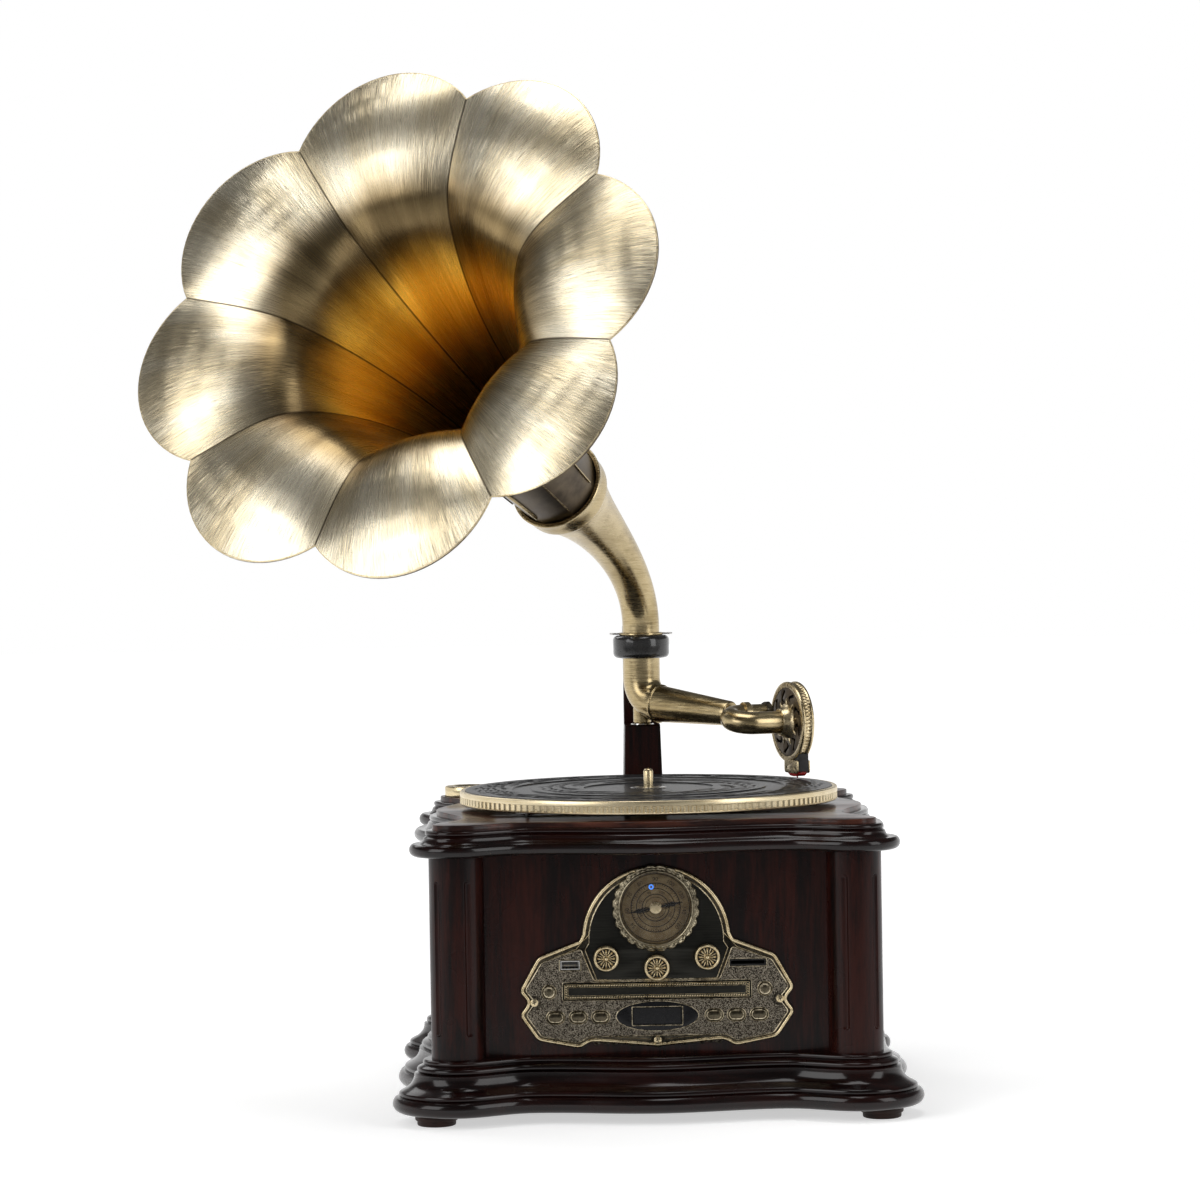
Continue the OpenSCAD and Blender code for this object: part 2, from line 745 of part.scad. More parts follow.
module platter() {
    bore = spindle_r + boss + seat;
    low = z_rim - 1.9;
    top = z_rim + platter_rim_h;
    color("#cdb27a") rotate_extrude($fn = 180) polygon([
        [bore, z_plate], [drive_ring_r - 6, z_plate], [drive_ring_r - 6, low],
        [drive_ring_r, low], [drive_ring_r, z_plate], [platter_r - 9, z_plate],
        [platter_r - 8, z_rim], [platter_r - 0.8, z_rim], [platter_r, z_rim + 0.8],
        [platter_r, top - 1], [platter_r - 1, top], [mat_r, top], [mat_r, z_plate + plate_t],
        [bore, z_plate + plate_t]]);
}

module platter_mat() {
    low = z_plate + plate_t;
    bore = spindle_r + boss + seat;
    color("#1f1f20") rotate_extrude($fn = 180) polygon([
        [bore, low], [mat_r - seat, low], [mat_r - seat, z_mat], [103, z_mat],
        [103, z_mat - 0.8], [89, z_mat - 0.8], [89, z_mat], [49, z_mat], [49, z_mat - 0.8],
        [bore, z_mat - 0.8]]);
}

module spindle() {
    tip = 2.4;
    color("#d8cfb8") {
        translate([0, 0, z_deck - 30.8]) cylinder(h = z_plate - z_deck + 27, r = shaft_r);
        translate([0, 0, z_plate - 4]) cylinder(h = 4, r = 12);
        translate([0, 0, z_plate - 1]) cylinder(h = z_mat - z_plate + 0.4, r = spindle_r + boss);
        translate([0, 0, z_mat - 1]) cylinder(h = spindle_h - tip + 1, r = spindle_r);
        translate([0, 0, z_mat + spindle_h - tip]) cylinder(h = tip, r1 = spindle_r, r2 = 1.4);
    }
}

module motor_pulley() {
    low = z_deck + 1.2;
    color("#d6d2c4") translate([motor_away * cos(motor_turn), motor_away * sin(motor_turn), 0]) {
        translate([0, 0, z_under - deck_block_t - 23.8])
            cylinder(h = low - z_under + deck_block_t + 24, r = 1.5);
        translate([0, 0, low]) cylinder(h = z_plate - 0.4 - low, r = pulley_r);
        translate([0, 0, low]) cylinder(h = 1, r = pulley_r + 1.4);
        translate([0, 0, z_plate - 1.2]) cylinder(h = 0.8, r = pulley_r + 1.4);
    }
}

module record_adapter() {
    color("#cfae63") translate([0, 0, z_deck - recess] + adapter_at) difference() {
        rotate_extrude() polygon([[spindle_r + 0.06, 0], [adapter_r - 0.3, 0],
            [adapter_r - 0.3, recess + 0.2], [adapter_r, recess + 0.2], [adapter_r, adapter_h - 1], [adapter_r - 1, adapter_h], [12, adapter_h],
            [10, adapter_h - 1.2], [spindle_r + 0.06, adapter_h - 1.2]]);
        for (i = [0:11]) rotate([0, 0, i * 30]) translate([15, 0, adapter_h - 3])
            cylinder(h = 4, r = 1.1, $fn = 24);
    }
}

// Arm and soundbox

module tonearm() {
    cone_l = (arm_len - arm_bend + arm_bend * sin(arm_tilt)) / cos(arm_tilt);
    part_l = cone_l - 16;
    end_r = tube_r - (tube_r - arm_tip_r) * part_l / cone_l;
    color("#a8854b") {
        translate([0, arm_y, 0]) rotate([0, 0, arm_turn]) {
            translate([0, 0, z_bend]) difference() {
                cylinder(h = z_collar_top - 9 - z_bend, r = tube_r);
                translate([0, 0, -cut]) cylinder(h = 60, r = tube_r - tube_wall);
            }
            translate([arm_bend, 0, z_bend]) rotate([90, 0, 0]) rotate([0, 0, 180])
                rotate_extrude(angle = 90 - arm_tilt) translate([arm_bend, 0]) difference() {
                    circle(r = tube_r);
                    circle(r = tube_r - tube_wall);
                }
            translate([arm_len, 0, z_axle]) rotate([0, 90 + arm_tilt, 0])
                translate([0, 0, -cone_l]) rotate_extrude() polygon([
                    [tube_r - tube_wall - 0.3, -1.5], [tube_r + 0.8, -1.5], [tube_r + 0.8, 1.5],
                    [tube_r - 0.1, 1.5], [end_r, part_l], [0, part_l], [0, part_l - 3],
                    [end_r - tube_wall, part_l - 3]]);
            translate([0, 0, z_ledge + 1.8]) difference() {
                cylinder(h = 13, r = 7);
                translate([0, 0, -cut]) cylinder(h = 7.2 + cut, r = 3 + running);
            }
        }
        on_axle() difference() {
            union() {
                bar_s(0, 0, -ring_half, ring_half, neck_r + 2);
                translate([0, 0, -7]) linear_extrude(14) polygon([[-ring_half, 6],
                    [ring_half, 6], [ring_half, 15], [0.5, 20], [-10, 15], [-10, 12.9],
                    [-ring_half, 10.2]]);
            }
            bar_s(0, 0, -12, 12, neck_r + running);
        }
    }
}

// A child drawn in the axle's frame: +X along the axle, origin at its middle
module on_axle() {
    translate([arm_len * cos(arm_turn), arm_y + arm_len * sin(arm_turn), z_axle])
        rotate([0, 0, axle_turn]) children();
}

// A round bar along X from s0 to s1
module bar_s(y, z, s0, s1, r, r2 = -1) {
    translate([s0, y, z]) rotate([0, 90, 0]) cylinder(h = s1 - s0, r1 = r, r2 = r2 < 0 ? r : r2);
}

module gooseneck() {
    r = neck_r;
    hole = r - tube_wall;
    color("#a8854b") on_axle() rotate([neck_tilt, 0, 0]) {
        difference() {
            bar_s(0, 0, neck_left, 18, r);
            bar_s(0, 0, neck_left - cut, 16, hole);
        }
        translate([neck_left, -neck_bend, 0]) rotate([0, 0, 90]) rotate_extrude(angle = 180)
            translate([neck_bend, 0]) difference() {
                circle(r = r);
                circle(r = hole);
            }
        difference() {
            bar_s(-neck_span, 0, neck_left, box_back, r);
            bar_s(-neck_span, 0, neck_left - cut, box_back + cut, hole);
        }
    }
}

module axle_nut() {
    color("#2b2824") on_axle() rotate([neck_tilt, 0, 0]) difference() {
        translate([15, 0, 0]) rotate([0, 90, 0]) cylinder(h = 5, r = neck_r + 1.9, $fn = 6);
        bar_s(0, 0, 15 - cut, 18 + seat, neck_r + seat);
    }
}

// A child drawn in the soundbox's frame: +Z along its axis, from its back to its front
module on_box() {
    on_axle() rotate([neck_tilt, 0, 0]) translate([box_back, -neck_span, 0])
        rotate([-neck_tilt, 0, 0]) rotate([0, 90, 0]) children();
}

module soundbox() {
    r = soundbox_r;
    t = soundbox_t;
    color("#b08a45") on_box() {
        difference() {
            rotate_extrude() polygon([[r - 4.5, 0.6], [r - 1, 0.6], [r, 1.6], [r, 3],
                [r - 0.8, 3.6], [r - 0.8, t - 3.6], [r, t - 3], [r, t - 1.6], [r - 1, t - 0.6],
                [r - 5, t - 0.6], [r - 9, t - 1.6], [9, t - 1.6], [7, t], [0, t], [0, t - 3],
                [r - 9, t - 3], [r - 4.5, t - 4.6]]);
            for (a = [0:7.5:359]) rotate([0, 0, a]) translate([r - 0.2, 0, 3.8])
                cylinder(h = t - 7.6, r = 0.9, $fn = 12);
        }
        for (z = [0, t - 1.2]) translate([r - 2, -20, z]) difference() {
            cube([10, 24, 1.2]);
            for (y = [4, 20]) translate([6, y, -cut]) cylinder(h = 4, r = 1.2);
        }
    }
}

module soundbox_back() {
    r = soundbox_r - 4.6;
    color("#c9a659") on_box() difference() {
        union() {
            translate([0, 0, 0.6]) cylinder(h = 2, r = r);
            translate([0, 0, -6]) cylinder(h = 6.6, r1 = neck_r + 1.6, r2 = neck_r + 5.5);
        }
        translate([0, 0, -7]) cylinder(h = 7.1, r = neck_r + seat);
        translate([0, 0, -cut]) cylinder(h = 5, r = neck_r - 3);
        for (a = [0:40:359]) rotate([0, 0, a]) translate([19.6, 0, -cut]) linear_extrude(5)
            oval(8.5, 3.4);
    }
}

module cartridge() {
    top = soundbox_r - 3;
    low = neck_drop + z_axle - 2 * neck_drop - z_mat - 4.2;
    color("#151515") on_box() difference() {
        translate([top, -20, 1.2 + seat]) cube([low - top, 24, soundbox_t - 2.4 - 2 * seat]);
        translate([0, 0, -cut]) cylinder(h = soundbox_t + 2 * cut, r = soundbox_r + seat);
        translate([low - 3, -22, -cut]) cube([6, 8, soundbox_t + 2 * cut]);
    }
}

module stylus() {
    low = z_axle - neck_drop - z_mat;
    color("#b3201c") on_box() translate([0, -8, soundbox_t / 2]) {
        translate([low - 4.2 + seat, -3, -2]) cube([1.9 - seat, 6, 4]);
        translate([low - 2.4, 0, 0]) rotate([0, 90, 0]) cylinder(h = 2.1, r1 = 1, r2 = 0.25);
    }
}

// Horn

module horn_swivel() {
    r = tube_r;
    z = z_collar_top + clear;
    color("#a07c42") translate([0, arm_y, 0]) difference() {
        union() {
            translate([0, 0, z - 8.1]) cylinder(h = 9.8, r = r);
            translate([0, 0, z]) cylinder(h = 1.7, r = r + 3);
            for (x = [-1, 1]) translate([x * (r + 6.3), 0, z]) linear_extrude(1.7) oval(8, 6);
            translate([0, 0, z]) linear_extrude(1.7) square([2 * r + 14, 6], center = true);
        }
        translate([0, 0, z - 9]) cylinder(h = 12, r = r - 2);
    }
}

// The elbow's centreline in its own plane: [outward, height, tilt of the tangent, outer radius]
function bezier(p, t) = (1 - t) ^ 3 * p[0] + 3 * (1 - t) ^ 2 * t * p[1] + 3 * (1 - t) * t ^ 2 * p[2]
    + t ^ 3 * p[3];

function elbow_stations() =
    let (
        b = horn_tilt,
        straight = 25,
        out = [cos(b), sin(b)],
        lip = [lip_out, z_lip],
        p3 = lip - straight * out,
        foot = z_collar_top + 2,
        p = [[0, foot + 4], [0, foot + 55], p3 - 43.5 * out, p3],
        n = 12,
        big = socket_r + tube_wall
    )
    concat(
        [[0, foot, 90, tube_r]],
        [for (i = [0:n]) let (t = i / n, c = bezier(p, t), d = bezier(p, t + 0.01) - bezier(p, t - 0.01))
            [c.x, c.y, atan2(d.y, d.x), tube_r + (big - 4 - tube_r) * t ^ 2.6]],
        [for (k = [[9, big - 0.2], [straight - 3, big]]) let (c = p3 + k[0] * out)
            [c.x, c.y, b, k[1]]]);

function ring_point(st, r, a) =
    [st[0] - r * cos(a) * sin(st[2]), r * sin(a), st[1] + r * cos(a) * cos(st[2])];

module horn_elbow() {
    st = elbow_stations();
    n = len(st);
    steps = 48;
    lip = [lip_out, z_lip, horn_tilt, 0];
    color("#a07c42") translate([0, arm_y, 0]) rotate([0, 0, -90 - horn_turn])
        skin([for (k = [0:steps - 1]) let (a = -360 * k / steps) concat(
            [for (s = st) ring_point(s, s[3], a)],
            [for (q = [[-2, 1.4], [-0.6, 1.8], [0.4, 1.2], [0.4, 0.2]]) let (
                s = [lip[0] + q[0] * cos(lip[2]), lip[1] + q[0] * sin(lip[2]), lip[2], 0])
                ring_point(s, socket_r + tube_wall + q[1] - 0.2, a)],
            [ring_point(lip, socket_r, a)],
            [for (i = [n - 1:-1:0]) ring_point(st[i], st[i][3] - tube_wall, a)])], true);
}

// Radius of the horn's seams at a distance behind the mouth, and the slope of that curve
function seam_at(s) = 27 + (seam_mouth_r - 27) * (0.6 * exp(-s / 95) + 0.4 * exp(-s / 6.5));
function seam_slope(s) =
    -(seam_mouth_r - 27) * (0.6 / 95 * exp(-s / 95) + 0.4 / 6.5 * exp(-s / 6.5));

// Bulge of a petal past the straight line between its seams, as a share of half that line
function bulge_at(s) =
    let (
        half = 180 / petals,
        rim = (petal_r / seam_mouth_r - cos(half)) / sin(half)
    )
    0.125 + (rim - 0.125) * exp(-s / 6);

// How far the middle of a petal stands up from its seams, towards the mouth
function swell_at(s, v) = petal_swell * (1 - exp(-s / 1.6)) * exp(-(s / 45) ^ 2) * (1 - v ^ 2)
    / sqrt(1 + seam_slope(s) ^ 2);

// A point of a ring: seam radius, bulge, petal number, place across the petal, -1 to 1,
// and a move towards the axis
function petal_point(r, bulge, k, v, shift) =
    let (
        half = 180 / petals,
        c = r * sin(half),
        h = bulge * c,
        rho = (c ^ 2 + h ^ 2) / (2 * h),
        a = v * asin(c / rho),
        x = r * cos(half) + h - rho + rho * cos(a) - shift,
        y = rho * sin(a),
        t = 37.7 + (k + 0.5) * 360 / petals
    )
    [x * cos(t) - y * sin(t), x * sin(t) + y * cos(t)];

module horn_bell() {
    rings = 16;
    steps = 6;
    s_at = [for (i = [0:rings]) (horn_len + horn_in) * (i / rings) ^ 2.2];
    sections = [for (k = [0:petals - 1]) for (j = [0:steps - 1]) let (v = 2 * j / steps - 1) concat(
        [for (i = [0:rings]) let (
            s = s_at[i],
            up = swell_at(s, v),
            p = petal_point(seam_at(s), bulge_at(s), k, v, up))
            [p.x, p.y, horn_len - s - seam_slope(s) * up]],
        [for (i = [rings:-1:0]) let (
            s = s_at[i],
            m = seam_slope(s),
            up = swell_at(s, v),
            w = horn_wall / sqrt(1 + m ^ 2),
            p = petal_point(seam_at(s) + w, bulge_at(s), k, v, up))
            [p.x, p.y, horn_len - s + m * (w - up)]])];
    color("#a9854a") translate([0, arm_y, 0]) rotate([0, 0, -horn_turn])
        translate([0, -lip_out, z_lip]) rotate([90 - horn_tilt, 0, 0]) skin(sections, true);
}

// Knobs, pointer, tray and buttons

module knob() {
    r = knob_r;
    difference() {
        union() {
            translate([0, 0, 1.2]) rotate_extrude() polygon([[0, 0], [r - 0.6, 0], [r, 0.6],
                [r, 7], [r - 1, 8.4], [r - 2.4, 8.4], [r - 3, 7.6], [5, 7.6], [4.2, 9.4],
                [2.6, 10.6], [0, 10.8]]);
            for (a = [0:60:359]) rotate([0, 0, a]) translate([4.4, 0, 8.6])
                cylinder(h = 0.9, r = 1.7, $fn = 24);
        }
        for (a = [0:20:359]) rotate([0, 0, a]) translate([r + 0.3, 0, 2.4])
            cylinder(h = 4.6, r = 0.9, $fn = 16);
    }
    translate([0, 0, -face_t - 9.2]) cylinder(h = 11 + face_t, r = knob_shaft_r);
}

module mode_knob() {
    color("#8d7a55") on_plate(-side_knob_x, z_side_knob) knob();
}

module tuning_knob() {
    color("#8d7a55") on_plate(0, z_tune_knob) knob();
}

module volume_knob() {
    color("#8d7a55") on_plate(side_knob_x, z_side_knob) knob();
}

module dial_pointer() {
    color("#141414") on_plate(0, z_dial) rotate([0, 0, 10.8]) {
        translate([0, 0, -face_t - 11.5]) cylinder(h = 13, r = 1.5);
        translate([0, 0, -2.6]) cylinder(h = 0.9, r = 4.5);
        translate([0, 0, -2.5]) linear_extrude(0.6) polygon([[-20, -0.5], [-12, -2], [12, -2],
            [20, -0.5], [20, 0.5], [12, 2], [-12, 2], [-20, 0.5]]);
    }
}

module disc_tray() {
    w = tray_panel_w / 2;
    h = tray_t + 1.6;
    front = face_y - 1.5;
    color("#3c342a") difference() {
        union() {
            block(-tray_w / 2, tray_w / 2, front, -wall_out - 0.5, z_tray - tray_h / 2,
                z_tray + tray_h / 2);
            block(-w, w, -wall_out - 1, tray_back, tray_low, tray_low + h);
        }
        translate([0, well_y, tray_low + tray_t]) cylinder(h = 30, r = well_r);
        block(-14, 14, well_y - 8, well_y + 42, tray_low - cut, tray_low + h);
    }
}

module key(n) {
    x = n < 3 ? -key_x[2 - n] : key_x[n - 3];
    color("#b8a888") on_plate(x, z_keys) {
        translate([0, 0, -face_t - 0.2]) linear_extrude(face_t + button_out - 0.4)
            oval(button_w, button_h);
        linear_extrude(button_out) oval(button_w - 1.2, button_h - 1.2);
        translate([0, 0, -face_t - 0.2 - key_flange]) linear_extrude(key_flange)
            oval(button_w + 2, button_h + 2);
        key_stem();
    }
}

module key_stem() {
    end = -face_t - (board_y - switch_h - key_travel - 0.1 + wall_out);
    translate([0, 0, end]) cylinder(h = -end - face_t, r = 1.5);
}

module round_key(x) {
    r = round_key_r;
    color("#b8a888") on_plate(x, z_tray) {
        translate([0, 0, -face_t - 0.2]) rotate_extrude() polygon([[0, 0], [r, 0],
            [r, face_t + 1.4], [r - 0.7, face_t + button_out], [r - 1.6, face_t + button_out],
            [r - 2.2, face_t + 1.6], [0, face_t + 1.6]]);
        translate([0, 0, -face_t - 0.2 - key_flange]) cylinder(h = key_flange, r = r + 1);
        key_stem();
    }
}

module key_1() {
    key(0);
}

module key_2() {
    key(1);
}

module key_3() {
    key(2);
}

module key_4() {
    key(3);
}

module key_5() {
    key(4);
}

module key_6() {
    key(5);
}

module round_key_left() {
    round_key(-round_x);
}

module round_key_right() {
    round_key(round_x);
}

feet();
base_moulding();
bottom_board();
corner_columns();
front_panel();
side_panels();
rear_panel();
top_moulding();
deck_board();
arm_pillar();
horn_collar();
lower_pivot();
screws();
control_plate();
dial_card();
dial_bezel();
dial_lens();
display_window();
usb_socket();
card_socket();
control_board();
rotary_controls();
disc_drive();
main_board();
power_transformer();
speakers();
speaker_grilles();
rear_sockets();
turntable_motor();
platter_bearing();
drive_belt();
platter();
platter_mat();
spindle();
motor_pulley();
record_adapter();
tonearm();
gooseneck();
axle_nut();
soundbox();
soundbox_back();
cartridge();
stylus();
horn_swivel();
horn_elbow();
horn_bell();
mode_knob();
tuning_knob();
volume_knob();
dial_pointer();
disc_tray();
power_switch();
key_1();
key_2();
key_3();
key_4();
key_5();
key_6();
round_key_left();
round_key_right();
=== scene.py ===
"""Builds the look of a table-top stereo with a turntable, a swinging arm and a petal horn."""
import math

import bmesh
import bpy
from mathutils import Matrix, Vector
from mathutils.geometry import tessellate_polygon


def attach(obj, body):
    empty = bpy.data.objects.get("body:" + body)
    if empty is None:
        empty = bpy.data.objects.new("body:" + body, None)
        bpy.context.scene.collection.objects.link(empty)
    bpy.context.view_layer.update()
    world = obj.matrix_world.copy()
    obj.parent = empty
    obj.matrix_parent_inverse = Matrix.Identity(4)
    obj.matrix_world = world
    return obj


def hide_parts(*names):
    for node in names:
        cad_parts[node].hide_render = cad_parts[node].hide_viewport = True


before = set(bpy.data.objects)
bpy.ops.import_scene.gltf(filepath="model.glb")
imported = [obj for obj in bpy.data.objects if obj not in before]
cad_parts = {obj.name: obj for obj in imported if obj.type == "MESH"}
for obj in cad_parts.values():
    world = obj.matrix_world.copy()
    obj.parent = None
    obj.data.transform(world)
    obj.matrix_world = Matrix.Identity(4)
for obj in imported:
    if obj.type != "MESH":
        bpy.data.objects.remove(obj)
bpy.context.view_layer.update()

bl_info = {
    "name": "Horn Stereo",
    "version": (1, 0, 0),
    "blender": (4, 5, 0),
    "location": "3D View > Sidebar > Horn Stereo",
    "description": "Builds a table-top stereo with a turntable, a swinging arm and a petal horn",
    "category": "Object",
}

MM = 0.001

# Sizes of the CAD model, in millimetres
COLUMN_PLACE = 143.75
COLUMN_R = 19.75
WALL_OUT = 141.5
WALL_IN = 129.5
FACE_Y = -145.0
FACE_T = 3.5
Z_WALL = 46.0
Z_TOP = 192.0
Z_UNDER = 211.2
Z_DECK = 215.0
Z_RIM = 219.2
Z_PLATE = 223.6
Z_MAT = 229.6
Z_LEDGE = 268.0
Z_COLLAR = 321.0
Z_COLLAR_TOP = 339.0
Z_AXLE = 277.5
Z_LIP = 459.4
Z_FOOT = 51.0
LOBE_HOLLOW = 20.5
FRONT_DIP = 7.0
ARM_Y = 150.0
POST_FRONT = 172.5
PILLAR_BACK = 188.2
PLATTER_R = 142.5
MAT_R = 138.4
SPINDLE_R = 3.58
BOSS_R = 4.38
PLATTER_BORE = BOSS_R + 0.1
TUBE_R = 14.5
TUBE_WALL = 1.6
ARM_LEN = 104.0
ARM_TURN = -41.0
ARM_BEND = 20.0
ARM_TILT = 5.0
Z_BEND = 304.9
NECK_R = 8.65
NECK_SPAN = 26.4
NECK_LEFT = -3.5
NECK_TILT = math.degrees(math.asin(4.5 / NECK_SPAN))
AXLE_TURN = 21.0
BOX_R = 31.0
BOX_T = 11.0
HORN_TURN = 27.3
HORN_TILT = 25.25
LIP_OUT = 143.7
HORN_LEN = 277.7
HORN_IN = 12.0
HORN_WALL = 1.2
SOCKET_R = 33.4
THROAT_R = 27
SEAM_MOUTH_R = 177.0
PETAL_SWELL = 13.0
PETAL_R = 205.0
PETALS = 8
FIRST_SEAM = 37.7
INNER_HALF = 122.0
PILLAR_GAP = 15.7
FOOT_PLACE = 160.25
FOOT_H = 8.0
BASE_REACH = 48.55
TOP_REACH = 33.6
PILLAR_HALF = 15.5
Z_PILLAR = 106
DECK_REACH = 16.6
ADAPTER_PLACE = 137.5
ADAPTER_R = 19.05
ADAPTER_BORE = 3.64
MOTOR_AT = (-91.745, -64.241)
GRILLE_UP = 126
GRILLE_R = 47
KEY_X = (41.0, 57.2, 73.6)
KEY_STEM = [(0, -9.8), (1.5, -9.8), (1.5, -4.6), (0, -4.6)]


# Frames and outlines


def shift(x, y, z):
    return Matrix.Translation((x, y, z))


def at(x, y, z):
    """A shift given in millimetres, for an object in metres."""
    return shift(x * MM, y * MM, z * MM)


def turn(axis, degrees):
    """A turn about an axis through the origin."""
    return Matrix.Rotation(math.radians(degrees), 4, axis)


def on_plate(x, up):
    """The frame of a place on the control plate, +Z standing out of it; up counts from the plate's foot."""
    return at(x, FACE_Y, Z_FOOT + up) @ turn("X", 90)


ARM = at(0, ARM_Y, 0) @ turn("Z", ARM_TURN)
AXLE = ARM @ at(ARM_LEN, 0, Z_AXLE) @ turn("Z", AXLE_TURN - ARM_TURN)
NECK = AXLE @ turn("X", NECK_TILT)
BOX = NECK @ at(22.1, -NECK_SPAN, 0) @ turn("X", -NECK_TILT) @ turn("Y", 90)
HORN = at(0, ARM_Y, 0) @ turn("Z", -HORN_TURN) @ at(0, -LIP_OUT, Z_LIP) @ turn("X", 90 - HORN_TILT)
ELBOW = at(0, ARM_Y, 0) @ turn("Z", -90 - HORN_TURN)


def arc(cx, cy, r, start, end, steps):
    """Points of an arc between two angles, both ends included."""
    angles = [math.radians(start + (end - start) * i / steps) for i in range(steps + 1)]
    return [(cx + r * math.cos(a), cy + r * math.sin(a)) for a in angles]


def polar(r, angle):
    return r * math.cos(angle), r * math.sin(angle)


def around(steps):
    """Angles in radians at even steps round a circle."""
    return [2 * math.pi * k / steps for k in range(steps)]


def circle(x, y, r, steps=32):
    return arc(x, y, r, 0, 360, steps)[:-1]


def box(cx, cy, w, h, r=0.0):
    """A rectangle about a middle, its corners rounded by r."""
    if r <= 0:
        return [(cx + sx * w / 2, cy + sy * h / 2) for sx, sy in ((-1, -1), (1, -1), (1, 1), (-1, 1))]
    points = []
    for sx, sy, start in ((1, 1, 0), (-1, 1, 90), (-1, -1, 180), (1, -1, 270)):
        points += arc(cx + sx * (w / 2 - r), cy + sy * (h / 2 - r), r, start, start + 90, 6)
    return points


def softened(before, here, after, r, most, steps=5):
    """A curve in place of a corner, about r long, but no more than a share of either side."""
    here = Vector(here)
    before = Vector(before) - here
    after = Vector(after) - here
    a = here + before.normalized() * min(r, before.length * most)
    b = here + after.normalized() * min(r, after.length * most)
    return [tuple((1 - t) ** 2 * a + 2 * (1 - t) * t * here + t * t * b)
            for t in (k / steps for k in range(steps + 1))]


def rounded(corners, r, steps=5):
    """A closed outline with its corners softened."""
    triples = zip(corners[-1:] + corners[:-1], corners, corners[1:] + corners[:1])
    return [point for triple in triples for point in softened(*triple, r, 0.45, steps)]


def area(loop):
    return sum(a[0] * b[1] - b[0] * a[1] for a, b in zip(loop, loop[1:] + loop[:1])) / 2


def inset(loop, distance):
    """A closed outline moved to the left of its direction, which is inwards when it runs anticlockwise."""
    points = []
    count = len(loop)
    for i, (x, y) in enumerate(loop):
        before = Vector((x - loop[i - 1][0], y - loop[i - 1][1])).normalized()
        after = Vector((loop[(i + 1) % count][0] - x, loop[(i + 1) % count][1] - y)).normalized()
        side = Vector((-before.y - after.y, before.x + after.x))
        scale = min(2 / max(side.length_squared, 0.2), 2.0)
        points.append((x + side.x * scale * distance, y + side.y * scale * distance))
    return points


def walk(loop, pitch):
    """Places along a closed outline at an even pitch, each with its direction: (x, y, angle)."""
    ends = loop + loop[:1]
    lengths = [math.dist(a, b) for a, b in zip(ends, ends[1:])]
    total = sum(lengths)
    count = max(2, round(total / pitch))
    places = []
    index, done = 0, 0.0
    for k in range(count):
        target = total * k / count
        while index < len(lengths) - 1 and done + lengths[index] < target:
            done += lengths[index]
            index += 1
        (ax, ay), (bx, by) = ends[index], ends[index + 1]
        share = (target - done) / max(lengths[index], 1e-9)
        places.append((ax + (bx - ax) * share, ay + (by - ay) * share, math.atan2(by - ay, bx - ax)))
    return places


def smooth_step(x):
    x = min(max(x, 0.0), 1.0)
    return x * x * (3 - 2 * x)


# Shapes


